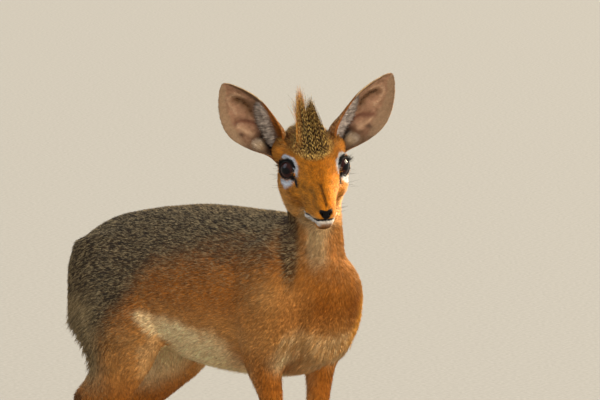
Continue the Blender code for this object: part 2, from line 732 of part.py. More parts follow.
def part_legs(flesh, parts, cutters):
    """Parts each leg from the trunk, splits it at the knee or hock, and stands it on its two claws."""
    for name in STEPS:
        side = 1 if name.endswith("left") else -1
        kind = name.split("_")[0]
        hinge, slope, pitch, fore, aft, joint = LEG_CUTS[kind]
        turn = Matrix.Translation((side * hinge[0], hinge[1], hinge[2]))
        turn @= Matrix(((1, 0, 0, 0), (0, 1, 0, 0), (side * slope, pitch, 1, 0), (0, 0, 0, 1)))
        low = (0 if side > 0 else -LEG_REACH, fore, -0.5)
        high = (LEG_REACH if side > 0 else 0, aft, 0)
        upper = part_off(flesh, name + "_upper", low, high, turn, parts, cutters)
        floor_box = ((-0.2, -0.3, -0.1), (0.2, 0.3, HOOF_HEIGHT))
        combine(upper, block(*floor_box), "DIFFERENCE", cutters)
        part_off(upper, name + "_lower", (-0.2, -0.3, -0.1), (0.2, 0.3, joint), Matrix.Identity(4), parts, cutters)
        x, y, *_ = leg_rows(name)[0][-1]
        for place, of_foot in (("outer", side), ("inner", -side)):
            add_object(f"hoof_{name}_{place}", claw_mesh(of_foot, (x, y - 0.002), HOOF_HEIGHT - GAP), parts)


def main():
    clear_scene()
    parts = collection(COLLECTION)
    cutters = collection("cutters", hidden=True)
    flesh = melted_flesh(parts)
    part_legs(flesh, parts, cutters)
    far = 0.4
    neck_turn = head_matrix() @ Matrix.Rotation(-HEAD_PITCH, 4, "X")
    neck_turn @= Matrix.Translation(NECK_TOP) @ Matrix.Rotation(NECK_TOP_TILT, 4, "X")
    head = part_off(flesh, "head", (-far, -far, 0), (far, far, far), neck_turn, parts, cutters)
    base_turn = Matrix.Translation(NECK_BASE) @ Matrix.Rotation(NECK_BASE_TILT, 4, "X")
    part_off(flesh, "neck", (-far, -far, 0), (far, far, far), base_turn, parts, cutters)
    tail = add_object("tail", loft("tail", TAIL, rings=12, sides=10), parts)
    combine(tail, swollen(flesh), "DIFFERENCE", cutters)
    keep_largest(tail)
    shape_head(head, cutters)
    for side, word in ((1, "left"), (-1, "right")):
        eye_object(f"eye_{word}", side, parts)
        ear = ear_object(f"ear_{word}", side, parts)
        combine(ear, swollen(head), "DIFFERENCE", cutters)
        keep_largest(ear)
    for finish, (colour, roughness, starts) in FINISHES.items():
        made = finish_material(finish, colour, roughness)
        for obj in parts.objects:
            if obj.name.startswith(starts):
                obj.data.materials.clear()
                obj.data.materials.append(made)
    for obj in parts.objects:
        obj.data.transform(Matrix.Translation(PLAN_SHIFT))


main()
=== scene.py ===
"""The looks of a life-size dik-dik that stands with its head turned to its right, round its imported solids.

Metres, +Z up. The animal faces -Y and its left side is +X. Every shape is worked out in the animal's own
plan, from the same named sizes as the solids, and is moved by PLAN_SHIFT when it becomes a mesh.
"""

import math

import bmesh
import bpy
import numpy as np
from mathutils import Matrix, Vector


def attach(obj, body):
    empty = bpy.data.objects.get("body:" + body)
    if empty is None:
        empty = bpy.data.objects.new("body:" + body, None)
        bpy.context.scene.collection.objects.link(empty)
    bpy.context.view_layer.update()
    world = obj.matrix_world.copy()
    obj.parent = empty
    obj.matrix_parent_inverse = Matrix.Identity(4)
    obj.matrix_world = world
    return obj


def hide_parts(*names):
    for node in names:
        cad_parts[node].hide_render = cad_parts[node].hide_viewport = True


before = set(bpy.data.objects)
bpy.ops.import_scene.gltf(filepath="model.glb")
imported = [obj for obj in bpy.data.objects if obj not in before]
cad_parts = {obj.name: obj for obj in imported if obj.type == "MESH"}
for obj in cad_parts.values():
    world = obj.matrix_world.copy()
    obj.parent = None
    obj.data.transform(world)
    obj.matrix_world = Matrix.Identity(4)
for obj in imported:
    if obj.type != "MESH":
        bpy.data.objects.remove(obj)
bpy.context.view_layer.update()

PLAN_SHIFT = np.array([0.0095, 0.0001, 0.0])

# Sizes that the solids share
HEAD_PLACE = np.array([-0.0227, -0.1543, 0.4192])
HEAD_TURN = math.radians(-34)
HEAD_TILT = math.radians(-2.5)
HEAD_PITCH = math.radians(38)
EYE_PLACE = np.array([0.0218, -0.001, 0.0])
EYE_RADIUS = 0.0112
EYE_OUTWARD = math.radians(46)
EYE_SLANT = math.radians(20)
EYE_OPENING_WIDE = math.radians(43)
EYE_OPENING_HIGH = math.radians(45)
LID_PINCH = 0.16
EAR_ROOT = np.array([0.0298, 0.027, -0.0045])
EAR_AXIS = np.array([0.588, 0.40, 0.703])
EAR_FACING = np.array([0.46, -0.693, 0.52])
EAR_SCALE = np.array([0.022, 0.087])
CREST_TIPS = np.array([[-0.0138, 0.043, 0.0670], [-0.0010, 0.040, 0.0520]])
CREST_PARTING = -0.003
CREST_MIDDLE = 0.014
CREST_RADII = (0.022, 0.026)
CONE_TOP = np.array([-0.0030, 0.0400, 0.0440])
CONE_HEART = np.array([-0.0072, 0.041, 0.038])
HOOF_LENGTH = 0.029
HOOF_HEIGHT = 0.0165
CLAW_WIDTH = 0.0096
CLAW_GAP = 0.0014

# The skin, and the share of the coat's length that it lies inside the solids
SKIN_VOXEL = 0.0026
LID_THICKNESS = 0.0011
COAT_DEPTH_SHARE = 0.24

# Where the finer skin round the eyes and on the muzzle begins, and where the muzzle's marks are looked for
FINE_EYE_REACH = 0.021
FINE_MUZZLE_FRONT = -0.034
FACE_FRONT = -0.03

# The coat: how many tufts each part carries, how deep a tuft's foot is sunk, a long hair's rings and the
# places on each, and a tuft's patch of the map
TRUNK_TUFTS = 150000
NECK_TUFTS = 40000
HEAD_TUFTS = 68000
LEG_TUFTS = 42000
PIECE_TUFTS = 48000
CREST_HAIRS = 4400
EAR_TUFTS = 15000
TUFT_SUNK = 0.0006
HAIR_STEPS = 5
HAIR_SIDES = 3
TUFT_PATCH = 0.003

SEED = 11

# The most points that are measured against a line at once
BLOCK = 4000

SIDES = ((1, "left"), (-1, "right"))


# The trunk, from the breast to the rump: y, top, bottom, half width and egg
TRUNK = (
    (-0.1755, 0.302, 0.262, 0.014, 0.0),
    (-0.167, 0.326, 0.243, 0.030, 0.0),
    (-0.147, 0.346, 0.227, 0.042, 0.02),
    (-0.120, 0.361, 0.215, 0.052, 0.08),
    (-0.092, 0.369, 0.210, 0.056, 0.14),
    (-0.050, 0.3705, 0.209, 0.060, 0.14),
    (0.000, 0.371, 0.212, 0.062, 0.12),
    (0.040, 0.3695, 0.220, 0.060, 0.08),
    (0.080, 0.364, 0.236, 0.056, 0.04),
    (0.115, 0.355, 0.250, 0.053, 0.02),
    (0.142, 0.341, 0.258, 0.048, 0.0),
    (0.163, 0.325, 0.260, 0.040, 0.0),
    (0.178, 0.308, 0.262, 0.028, 0.0),
    (0.185, 0.296, 0.270, 0.012, 0.0),
)

# The neck, upwards: x, y, z, half width, reach to the nape, reach to the throat
NECK = (
    (0.000, -0.098, 0.288, 0.046, 0.050, 0.064),
    (0.001, -0.120, 0.316, 0.040, 0.048, 0.052),
    (0.001, -0.133, 0.342, 0.0285, 0.038, 0.0365),
    (0.000, -0.135, 0.367, 0.0230, 0.0310, 0.0265),
    (0.000, -0.131, 0.390, 0.0262, 0.0295, 0.0270),
    (0.002, -0.125, 0.413, 0.0270, 0.0245, 0.0260),
    (0.005, -0.121, 0.437, 0.0190, 0.0165, 0.0200),
    (0.006, -0.121, 0.450, 0.0100, 0.0085, 0.0100),
)

# The left hind leg, from the croup to the foot: x, y, z, half width, reach forward, reach back
HIND_LEG = (
    (0.031, 0.120, 0.334, 0.019, 0.044, 0.044),
    (0.036, 0.113, 0.306, 0.026, 0.060, 0.057),
    (0.039, 0.103, 0.277, 0.028, 0.066, 0.065),
    (0.040, 0.096, 0.249, 0.026, 0.063, 0.062),
    (0.040, 0.099, 0.225, 0.0215, 0.050, 0.048),
    (0.039, 0.108, 0.203, 0.0170, 0.037, 0.033),
    (0.037, 0.122, 0.182, 0.0135, 0.029, 0.024),
    (0.034, 0.139, 0.164, 0.0112, 0.018, 0.021),
    (0.033, 0.149, 0.149, 0.0105, 0.0125, 0.015),
    (0.032, 0.151, 0.130, 0.0085, 0.0105, 0.010),
    (0.031, 0.149, 0.110, 0.0068, 0.008, 0.008),
    (0.031, 0.147, 0.075, 0.0062, 0.0072, 0.0074),
    (0.031, 0.145, 0.050, 0.0072, 0.0082, 0.0086),
    (0.031, 0.142, 0.040, 0.0086, 0.0092, 0.0096),
    (0.031, 0.136, 0.026, 0.0078, 0.0084, 0.0086),
    (0.031, 0.131, 0.013, 0.0086, 0.0105, 0.0095),
)

# The left hock's tendon, down to its point, and the heel below that point, in the same columns
TENDON = (
    (0.037, 0.120, 0.220, 0.009, 0.014, 0.014),
    (0.036, 0.135, 0.200, 0.0066, 0.010, 0.009),
    (0.035, 0.150, 0.184, 0.0062, 0.008, 0.007),
    (0.034, 0.162, 0.171, 0.0066, 0.008, 0.007),
    (0.034, 0.167, 0.165, 0.0050, 0.006, 0.005),
)
HEEL = (
    (0.034, 0.163, 0.172, 0.0060, 0.007, 0.006),
    (0.033, 0.160, 0.156, 0.0070, 0.009, 0.007),
    (0.032, 0.156, 0.138, 0.0066, 0.008, 0.006),
    (0.031, 0.152, 0.118, 0.0056, 0.006, 0.006),
)

# The left foreleg, from the shoulder blade to the foot, in the same columns
FORE_LEG = (
    (0.040, -0.090, 0.340, 0.013, 0.024, 0.024),
    (0.044, -0.104, 0.312, 0.017, 0.034, 0.034),
    (0.045, -0.113, 0.280, 0.019, 0.036, 0.038),
    (0.042, -0.108, 0.250, 0.018, 0.030, 0.034),
    (0.039, -0.101, 0.228, 0.0155, 0.022, 0.023),
    (0.036, -0.103, 0.205, 0.0130, 0.016, 0.015),
    (0.034, -0.104, 0.180, 0.0110, 0.0125, 0.013),
    (0.033, -0.105, 0.150, 0.0092, 0.0102, 0.0105),
    (0.032, -0.106, 0.130, 0.0096, 0.0108, 0.0106),
    (0.031, -0.105, 0.112, 0.0074, 0.0082, 0.0084),
    (0.031, -0.103, 0.080, 0.0062, 0.0068, 0.0072),
    (0.030, -0.102, 0.052, 0.0068, 0.0074, 0.0080),
    (0.030, -0.103, 0.040, 0.0083, 0.0088, 0.0094),
    (0.030, -0.108, 0.026, 0.0076, 0.0082, 0.0084),
    (0.030, -0.113, 0.013, 0.0086, 0.0105, 0.0095),
)

# How far each foot stands from its place in the tables above, and the heights where a leg's step begins and
# is full
STEPS = {"foreleg_left": 0.004, "foreleg_right": -0.020, "hindleg_left": 0.029, "hindleg_right": -0.003}
STEP_HEIGHTS = {"foreleg": (0.245, 0.05), "hindleg": (0.245, 0.15)}

# The skull and muzzle in the head's frame, from nape to nose: y, middle, half width, above, below, egg
SKULL = (
    (0.055, -0.010, 0.010, 0.008, 0.010, 0.0),
    (0.048, -0.006, 0.020, 0.0165, 0.019, 0.0),
    (0.034, -0.005, 0.0265, 0.0255, 0.027, 0.04),
    (0.016, -0.006, 0.0295, 0.0290, 0.032, 0.08),
    (0.000, -0.007, 0.0290, 0.0280, 0.033, 0.04),
    (-0.013, -0.007, 0.0260, 0.0245, 0.0300, -0.02),
    (-0.026, -0.006, 0.0200, 0.0205, 0.0250, -0.04),
    (-0.039, -0.006, 0.0145, 0.0180, 0.0190, -0.02),
    (-0.050, -0.0065, 0.0124, 0.0155, 0.0180, 0.0),
    (-0.058, -0.0080, 0.0112, 0.0125, 0.0160, 0.04),
    (-0.0635, -0.0095, 0.0088, 0.0088, 0.0112, 0.06),
    (-0.0665, -0.0095, 0.0040, 0.0036, 0.0052, 0.0),
)

# Eggs that round the head out, in its own frame: centre and radii, on both sides and then along its middle
HEAD_PAIRS = (
    ((0.0213, 0.001, 0.0008), (0.0134, 0.0152, 0.0138)),
    ((0.0170, 0.004, -0.023), (0.0156, 0.026, 0.0210)),
    ((0.0190, -0.004, -0.011), (0.0138, 0.026, 0.0130)),
    ((0.0080, -0.044, -0.0160), (0.0070, 0.0175, 0.0085)),
    ((0.0145, -0.003, -0.036), (0.0140, 0.024, 0.0120)),
    ((0.0245, 0.028, -0.004), (0.0110, 0.0130, 0.0150)),
)
HEAD_MIDDLE = (
    ((0, -0.0545, -0.0020), (0.0092, 0.0108, 0.0088)),
    ((0, -0.0515, -0.0185), (0.0080, 0.0112, 0.0056)),
)

# The tail, from inside the rump down to its tip: x, y, z, half width, inner depth, outer depth
TAIL = (
    (0.0, 0.163, 0.308, 0.009, 0.007, 0.007),
    (0.0, 0.180, 0.303, 0.010, 0.0075, 0.0075),
    (0.0, 0.1905, 0.292, 0.0115, 0.0065, 0.0065),
    (0.0, 0.1935, 0.278, 0.0110, 0.0050, 0.0050),
    (0.0, 0.1925, 0.266, 0.0075, 0.0035, 0.0035),
    (0.0, 0.1905, 0.257, 0.0018, 0.0012, 0.0012),
)

# The ear: height, bulge to its outer edge, half width and half angle of its arc in degrees
EAR_ARCS = (
    (-0.010, 0.000, 0.0080, 158),
    (0.000, 0.000, 0.0100, 140),
    (0.012, 0.0010, 0.0156, 108),
    (0.024, 0.0029, 0.0207, 82),
    (0.038, 0.0045, 0.0237, 66),
    (0.052, 0.0040, 0.0228, 58),
    (0.066, 0.0030, 0.0176, 52),
    (0.077, 0.0020, 0.0108, 46),
    (0.0838, 0.0012, 0.0054, 40),
    (0.0868, 0.0008, 0.0016, 36),
)

# The line of the mouth, in the head's frame
MOUTH_HALF_WIDTH = 0.0146
MOUTH_FRONT = -0.0660
MOUTH_CORNER = -0.0440
MOUTH_HEIGHT = -0.0064
MOUTH_DROP = 0.0098


def tone(red, green, blue):
    """A colour given as a screen shows it, 0 to 255, in the light's own units."""
    share = np.array([red, green, blue]) / 255
    return np.where(share < 0.04045, share / 12.92, ((share + 0.055) / 1.055) ** 2.4)


CHARCOAL = tone(42, 33, 25)
GREY = tone(90, 71, 50)
PALE_BAND = tone(198, 170, 122)
YELLOW_BAND = tone(226, 184, 100)
TAWNY = tone(194, 122, 46)
CHESTNUT = tone(158, 88, 27)
RUST = tone(182, 106, 26)
FACE_GOLD = tone(192, 122, 30)
BRIDGE_GOLD = tone(204, 124, 24)
# A painted highlight down the left side of the nose
BRIDGE_HIGHLIGHT_GOLD = tone(236, 160, 44)
# Painted rim light, laid down the breast's left side
BREAST_RIM_LIGHT_GOLD = tone(234, 166, 66)
NECK_SAND = tone(226, 154, 82)
# Painted shade on the shaded side of the nose
SNOUT_SHADOW_BROWN = tone(96, 64, 22)
SAND = tone(212, 158, 92)
CREAM = tone(246, 212, 158)
WHITE = tone(214, 206, 194)
# The white beside the eyes, greyed and blued as painted shade
SHADED_EYE_WHITE = tone(188, 190, 194)
BLACK = tone(16, 13, 12)
HOCK_BROWN = tone(80, 50, 28)
EAR_GREY = tone(154, 128, 100)
EAR_PINK = tone(164, 128, 102)
EAR_BROWN = tone(112, 82, 56)
# Painted shade in a dent of the ear
EAR_DENT_SHADE_DARK = tone(66, 44, 34)
# Painted shade in the ear's fold and below its ridge
EAR_FOLD_SHADE_RED = tone(98, 56, 42)
EAR_PALE = tone(206, 176, 142)
# Painted shadow under the ear's pale feather
EAR_SHADOW_UMBER = tone(90, 66, 56)
EAR_MAUVE = tone(118, 92, 78)
# Painted black shade in the hollow at the ear's root
EAR_HOLLOW_SHADE_BLACK = tone(20, 13, 11)
FEATHER_HAIR = np.array([0.80, 0.67, 0.57])

# Lines inside the ear as shares of its half width, outwards, and of its height
EAR_ARCH = (
    (0.30, 0.64), (0.32, 0.73), (0.36, 0.79), (0.26, 0.825), (0.09, 0.84), (-0.20, 0.825), (-0.34, 0.76),
)
EAR_RIDGE = ((0.50, 0.52), (0.44, 0.46), (0.43, 0.41), (0.42, 0.35))
EAR_HOLLOW = ((0.00, 0.765), (-0.14, 0.71), (-0.20, 0.635), (-0.14, 0.57))
# The fold, the shade line and the throat are where painted shade lies
EAR_FOLD = ((0.50, 0.56), (0.37, 0.54), (0.20, 0.49), (0.08, 0.42))
EAR_SHADE = ((-0.38, 0.57), (-0.24, 0.49), (0.02, 0.39), (0.12, 0.31))
EAR_THROAT = ((0.24, 0.27), (0.31, 0.175), (0.37, 0.08))

# The inner side of the ear's smooth rim: height, and how far across
EAR_RIM = (
    (0.36, 0.80), (0.40, 0.76), (0.49, 0.66), (0.60, 0.60), (0.73, 0.60), (0.84, 0.52), (0.92, 0.14),
)

# The feather of pale hair along the ear's inner edge: height, and its two sides
EAR_FEATHER = (
    (0.10, -0.03, 0.26),
    (0.175, -0.09, 0.20),
    (0.30, -0.31, 0.03),
    (0.40, -0.52, -0.10),
    (0.46, -0.66, -0.22),
    (0.53, -0.74, -0.38),
    (0.60, -0.80, -0.64),
)

# Lines on the head's left side, in its own frame, that its marks and painted shadows follow, with a half
# width where a mark has its own; places on the right side are folded over onto them
WHITE_BAND = (
    (0.0288, 0.0110, 0.0062, 0.0014),
    (0.0272, 0.0050, 0.0102, 0.0024),
    (0.0244, -0.0006, 0.0122, 0.0031),
    (0.0216, -0.0056, 0.0112, 0.0033),
    (0.0190, -0.0106, 0.0090, 0.0029),
    (0.0188, -0.0148, 0.0062, 0.0020),
    (0.0190, -0.0178, 0.0040, 0.0008),
)
WHITE_PATCH = (
    (0.0312, -0.0080, -0.0092, 0.0024),
    (0.0287, -0.0130, -0.0075, 0.0036),
    (0.0257, -0.0158, -0.0042, 0.0034),
    (0.0238, -0.0154, -0.0010, 0.0018),
)
GLAND = (
    (0.0238, -0.0076, 0.0022, 0.0005),
    (0.0228, -0.0100, 0.0022, 0.0010),
    (0.0214, -0.0132, 0.0026, 0.0010),
    (0.0209, -0.0160, 0.0020, 0.0016),
    (0.0205, -0.0195, 0.0008, 0.0024),
    (0.0200, -0.0222, 0.0000, 0.0026),
    (0.0198, -0.0244, -0.0012, 0.0015),
)
# The snout line and the cheek crease carry painted shadows of wrinkles
SNOUT_SHADE = (
    (0.0096, -0.0376, 0.0068),
    (0.0076, -0.0450, 0.0066),
    (0.0086, -0.0511, 0.0030),
    (0.0070, -0.0572, 0.0020),
)
CHEEK_CREASE = ((0.0273, -0.0210, -0.0088), (0.0234, -0.0262, -0.0095), (0.0191, -0.0292, -0.0096))

# The painted shadow line down the nose, in the head's frame
BRIDGE_LINE = (
    (-0.0012, -0.0380, 0.0110),
    (-0.0006, -0.0464, 0.0093),
    (0.0000, -0.0528, 0.0075),
    (0.0007, -0.0580, 0.0054),
)

# The pale stripe down the throat, and the one down the thigh's front edge, in the animal's plan
THROAT_LINE = (
    (-0.010, -0.150, 0.372),
    (-0.016, -0.153, 0.354),
    (-0.021, -0.158, 0.330),
    (-0.024, -0.161, 0.314),
)
THIGH_STRIPE = ((0.043, 0.040, 0.242), (0.046, 0.050, 0.222), (0.042, 0.062, 0.200))


def ease(low, high, value):
    """0 at low, 1 at high, and a smooth rise 3t^2 - 2t^3 between them; low may be the larger."""
    t = np.clip((value - low) / (high - low), 0, 1)
    return t * t * (3 - 2 * t)


def blend(a, b, share):
    """a where the share is 0 and b where it is 1, for colours or directions given per point."""
    share = np.asarray(share)[..., None]
    return a * (1 - share) + b * share


def layered(colour, *layers):
    """A colour under others that are laid over it in turn, each with its share."""
    for over, share in layers:
        colour = blend(colour, over, share)
    return colour


def bell(*terms):
    """1 at the centre of every value, and exp(-(sum of ((value - centre) / width)^2)) away from it."""
    return np.exp(-sum(((value - centre) / width) ** 2 for value, centre, width in terms))


def read_off(value, table):
    """Reads a table of two columns, the place and its value, in straight pieces."""
    places, values = np.array(table).T
    return np.interp(value, places, values)


def turns(count):
    """Evenly spread angles, once round."""
    return np.linspace(0, 2 * math.pi, count, endpoint=False)


def unit(vectors):
    """Vectors made one long."""
    return vectors / np.maximum(np.linalg.norm(vectors, axis=-1, keepdims=True), 1e-12)


def turn_about(axis, angle):
    """The matrix that turns column vectors by an angle about the x, y or z axis."""
    c, s = math.cos(angle), math.sin(angle)
    i, j = {"x": (1, 2), "y": (2, 0), "z": (0, 1)}[axis]
    made = np.eye(3)
    made[i, i] = made[j, j] = c
    made[i, j], made[j, i] = -s, s
    return made


HEAD_AXES = turn_about("z", HEAD_TURN) @ turn_about("y", HEAD_TILT) @ turn_about("x", HEAD_PITCH)
LEVEL_HEAD_AXES = turn_about("z", HEAD_TURN)


def from_head(points):
    """Places given in the head's frame, in the animal's plan."""
    return HEAD_PLACE + np.asarray(points) @ HEAD_AXES.T


def to_head(points):
    """Places given in the animal's plan, in the head's frame."""
    return (points - HEAD_PLACE) @ HEAD_AXES


def drift(points, size, seed):
    """A smooth random field from -1 to 1: the mean of twelve cosine waves of about that size, in random
    directions."""
    draw = np.random.default_rng(seed)
    waves = unit(draw.normal(size=(12, 3))) * (2 * math.pi / size) * draw.uniform(0.6, 1.5, (12, 1))
    return np.clip(np.cos(points @ waves.T + draw.uniform(0, 2 * math.pi, 12)).mean(1) * 2.2, -1, 1)


def smooth_rows(rows, count):
    """Reads rows off a curve through the given ones: cubic pieces whose slopes are those of the
    neighbouring rows."""
    rows = np.array(rows, float)
    along = np.concatenate([[0], np.cumsum(np.linalg.norm(np.diff(rows[:, :3], axis=0), axis=1))])
    slopes = np.gradient(rows, along, axis=0)
    at = np.linspace(0, along[-1], count)
    left = np.clip(np.searchsorted(along, at, side="right") - 1, 0, len(along) - 2)
    width = (along[left + 1] - along[left])[:, None]
    t = (at[:, None] - along[left][:, None]) / width
    return (
        (2 * t**3 - 3 * t**2 + 1) * rows[left]
        + (t**3 - 2 * t**2 + t) * width * slopes[left]
        + (3 * t**2 - 2 * t**3) * rows[left + 1]
        + (t**3 - t**2) * width * slopes[left + 1]
    )


def facing_out(points, triangles):
    """Turns every triangle over where the closed surface's signed volume is below nothing."""
    a, b, c = (points[triangles[:, k]] for k in range(3))
    return triangles if np.einsum("ij,ij->", a, np.cross(b, c)) > 0 else triangles[:, ::-1]


def grid_cells(rows, sides, wrapped=False):
    """The corners of a grid's cells, whose rows close on themselves: (i, j), (i, j + 1), (i + 1, j + 1) and
    (i + 1, j). A wrapped grid's last row joins its first."""
    i, j = np.meshgrid(np.arange(rows if wrapped else rows - 1), np.arange(sides), indexing="ij")
    after, k = (i + 1) % rows, (j + 1) % sides
    return i * sides + j, i * sides + k, after * sides + k, after * sides + j


def halved(a, b, c, d):
    """Two triangles for each cell with those corners."""
    return np.concatenate([np.stack([a, b, c], -1).reshape(-1, 3), np.stack([a, c, d], -1).reshape(-1, 3)])


def ring_surface(rings):
    """A closed surface over rings of points (rings, places, 3): two triangles a cell, and a fan over each
    end."""
    count, sides = rings.shape[:2]
    j = np.arange(sides)
    k = (j + 1) % sides
    first = np.stack([np.full(sides, count * sides), k, j], -1)
    base = (count - 1) * sides
    last = np.stack([np.full(sides, count * sides + 1), base + j, base + k], -1)
    points = np.concatenate([rings.reshape(-1, 3), rings[0].mean(0)[None], rings[-1].mean(0)[None]])
    triangles = np.concatenate([halved(*grid_cells(count, sides)), first, last])
    return points, facing_out(points, triangles)


def loft(rows, rings=60, sides=32):
    """Egg-shaped sections along a smooth path: across = cos(a) * half width * (1 - egg * sin(a)), rise =
    sin(a) times the reach above or below, in the plane square to the path. Rows without an egg are oval."""
    path = smooth_rows([(*row, 0.0)[:7] for row in rows], rings)
    centre, wide, above, below, egg = path[:, :3], path[:, 3:4], path[:, 4:5], path[:, 5:6], path[:, 6:7]
    tangent = unit(np.gradient(centre, axis=0))
    up = unit(np.cross(tangent, [1.0, 0.0, 0.0]))
    side = np.cross(up, tangent)
    angle = turns(sides)[None]
    across = np.cos(angle) * wide * (1 - egg * np.sin(angle))
    rise = np.sin(angle) * np.where(np.sin(angle) > 0, above, below)
    return ring_surface(centre[:, None] + across[..., None] * side[:, None] + rise[..., None] * up[:, None])


def egg(centre, radii, rings=20, sides=28):
    """An ellipsoid: centre + radii times (sin t cos p, cos t, sin t sin p), with t from pole to pole and p
    around."""
    t = np.linspace(0.02, math.pi - 0.02, rings)[:, None]
    p = turns(sides)[None]
    ball = np.stack([np.sin(t) * np.cos(p), np.cos(t) + 0 * p, np.sin(t) * np.sin(p)], -1)
    return ring_surface(np.array(centre) + np.array(radii) * ball)


def tube(path, radius, sides=8):
    """A round tube along a closed loop of points: point + radius * (cos a * side + sin a * up)."""
    tangent = unit(np.roll(path, -1, 0) - np.roll(path, 1, 0))
    side = unit(np.cross(tangent, path - path.mean(0)))
    up = np.cross(side, tangent)
    angle = turns(sides)[None, :, None]
    rings = path[:, None] + radius * (np.cos(angle) * side[:, None] + np.sin(angle) * up[:, None])
    points = rings.reshape(-1, 3)
    return points, facing_out(points, halved(*grid_cells(len(path), sides, wrapped=True)))


def joined(surfaces):
    """Several surfaces as one pair of arrays."""
    points, triangles, start = [], [], 0
    for some, faces in surfaces:
        points.append(some)
        triangles.append(faces + start)
        start += len(some)
    return np.concatenate(points), np.concatenate(triangles)


def mesh_from(name, points, faces, values=None):
    """A smooth-shaded mesh from arrays, with the named values of its points as attributes."""
    mesh = bpy.data.meshes.new(name)
    sides = faces.shape[1]
    mesh.vertices.add(len(points))
    mesh.vertices.foreach_set("co", (points + PLAN_SHIFT).astype(np.float32).ravel())
    mesh.loops.add(faces.size)
    mesh.loops.foreach_set("vertex_index", faces.astype(np.int32).ravel())
    mesh.polygons.add(len(faces))
    mesh.polygons.foreach_set("loop_start", np.arange(0, faces.size, sides, dtype=np.int32))
    mesh.polygons.foreach_set("use_smooth", np.ones(len(faces), bool))
    mesh.update(calc_edges=True)
    for key, value in (values or {}).items():
        if value.ndim == 2:
            made = mesh.attributes.new(key, "FLOAT_COLOR", "POINT")
            colour = np.concatenate([value, np.ones((len(value), 1))], 1)
            made.data.foreach_set("color", colour.astype(np.float32).ravel())
        else:
            made = mesh.attributes.new(key, "FLOAT", "POINT")
            made.data.foreach_set("value", value.astype(np.float32))
    return mesh


def piece(name, mesh, material, stands_for=()):
    """Shows a mesh as a piece of the animal, in the place of the solids that it stands for."""
    made = bpy.data.objects.new(name, mesh)
    bpy.context.scene.collection.objects.link(made)
    mesh.materials.append(material)
    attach(made, "root")
    if stands_for:
        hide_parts(*stands_for)


def lay_map(mesh, places, triangles):
    """Gives a mesh its bake map, from a place for each of its points."""
    layer = mesh.uv_layers.new(name="OFBake")
    layer.data.foreach_set("uv", places[triangles.ravel()].astype(np.float32).ravel())


def point_normals(points, triangles):
    """Each point's normal: the sum of its triangles' cross products, made one long."""
    a, b, c = (points[triangles[:, k]] for k in range(3))
    face = np.cross(b - a, c - a)
    total = np.zeros_like(points)
    for axis in range(3):
        for k in range(3):
            total[:, axis] += np.bincount(triangles[:, k], face[:, axis], len(points))
    return unit(total)


def relax(points, edges, amount, rounds):
    """Moves each point towards the mean of its neighbours by its own amount, round after round."""
    a, b = edges[:, 0], edges[:, 1]
    count = np.bincount(edges.ravel(), minlength=len(points))[:, None]
    for _ in range(rounds):
        total = np.empty_like(points)
        for axis in range(3):
            total[:, axis] = np.bincount(a, points[b, axis], len(points))
            total[:, axis] += np.bincount(b, points[a, axis], len(points))
        points = points + amount[:, None] * (total / count - points)
    return points


# The body


def leg_surfaces():
    """The lofts of all four legs: the left one's rows, mirrored for the right, and moved by the leg's
    step."""
    made = []
    for name, step in STEPS.items():
        side = 1 if name.endswith("left") else -1
        kind = name.split("_")[0]
        high, low = STEP_HEIGHTS[kind]
        for table in (HIND_LEG, TENDON, HEEL) if kind == "hindleg" else (FORE_LEG,):
            rows = np.array(table)
            rows[:, 1] += step * np.clip((high - rows[:, 2]) / (high - low), 0, 1)
            rows[:, 0] *= side
            made.append(loft(rows, sides=24))
    return made


def head_surfaces():
    """The skull's loft and the eggs that round it out, carried from the head's frame."""
    rows = [(0, y, middle, wide, above, below, narrow) for y, middle, wide, above, below, narrow in SKULL]
    made = [loft(rows, 50, 40)]
    for centre, radii in HEAD_PAIRS:
        for side in (1, -1):
            made.append(egg((side * centre[0], *centre[1:]), radii))
    made += [egg(*middle) for middle in HEAD_MIDDLE]
    return [(from_head(points), triangles) for points, triangles in made]


def arrays_of(mesh):
    """A mesh's points, its edges and its triangles as arrays."""
    points = np.empty(len(mesh.vertices) * 3)
    mesh.vertices.foreach_get("co", points)
    edges = np.empty(len(mesh.edges) * 2, np.int32)
    mesh.edges.foreach_get("vertices", edges)
    mesh.calc_loop_triangles()
    triangles = np.empty(len(mesh.loop_triangles) * 3, np.int32)
    mesh.loop_triangles.foreach_get("vertices", triangles)
    return points.reshape(-1, 3), edges.reshape(-1, 2), triangles.reshape(-1, 3)


def head_side(points):
    """How far a point lies on the head's side of the plane where the head meets the neck."""
    level = (points - HEAD_PLACE) @ LEVEL_HEAD_AXES
    return 0.768 * (0.072 - level[:, 1]) + 0.64 * (level[:, 2] - 0.018)


def neck_side(points):
    """How far a point lies above the slanting plane where the neck meets the trunk."""
    return 0.61 * (-points[:, 1] - 0.098) + 0.79 * (points[:, 2] - 0.375)


def shares(points):
    """How far each point belongs to the head, the neck and a lower leg, each from 0 to 1."""
    z = points[:, 2]
    head = ease(-0.008, 0.012, head_side(points)) * ease(0.35, 0.37, z)
    neck = ease(-0.018, 0.022, neck_side(points)) * (1 - head) * ease(-0.05, -0.07, points[:, 1])
    low_leg = ease(0.205, 0.155, z)
    return head, neck, low_leg


def subdivided(points, faces, chosen):
    """Cuts the edges of the chosen faces in two and fills them in as grids."""
    work = bmesh.new()
    rough = mesh_from("rough", points - PLAN_SHIFT, faces)
    work.from_mesh(rough)
    work.faces.ensure_lookup_table()
    edges = {edge for index in np.flatnonzero(chosen) for edge in work.faces[index].edges}
    bmesh.ops.subdivide_edges(work, edges=list(edges), cuts=1, use_grid_fill=True)
    bmesh.ops.triangulate(work, faces=[face for face in work.faces if len(face.verts) > 4])
    work.to_mesh(rough)
    work.free()
    return rough


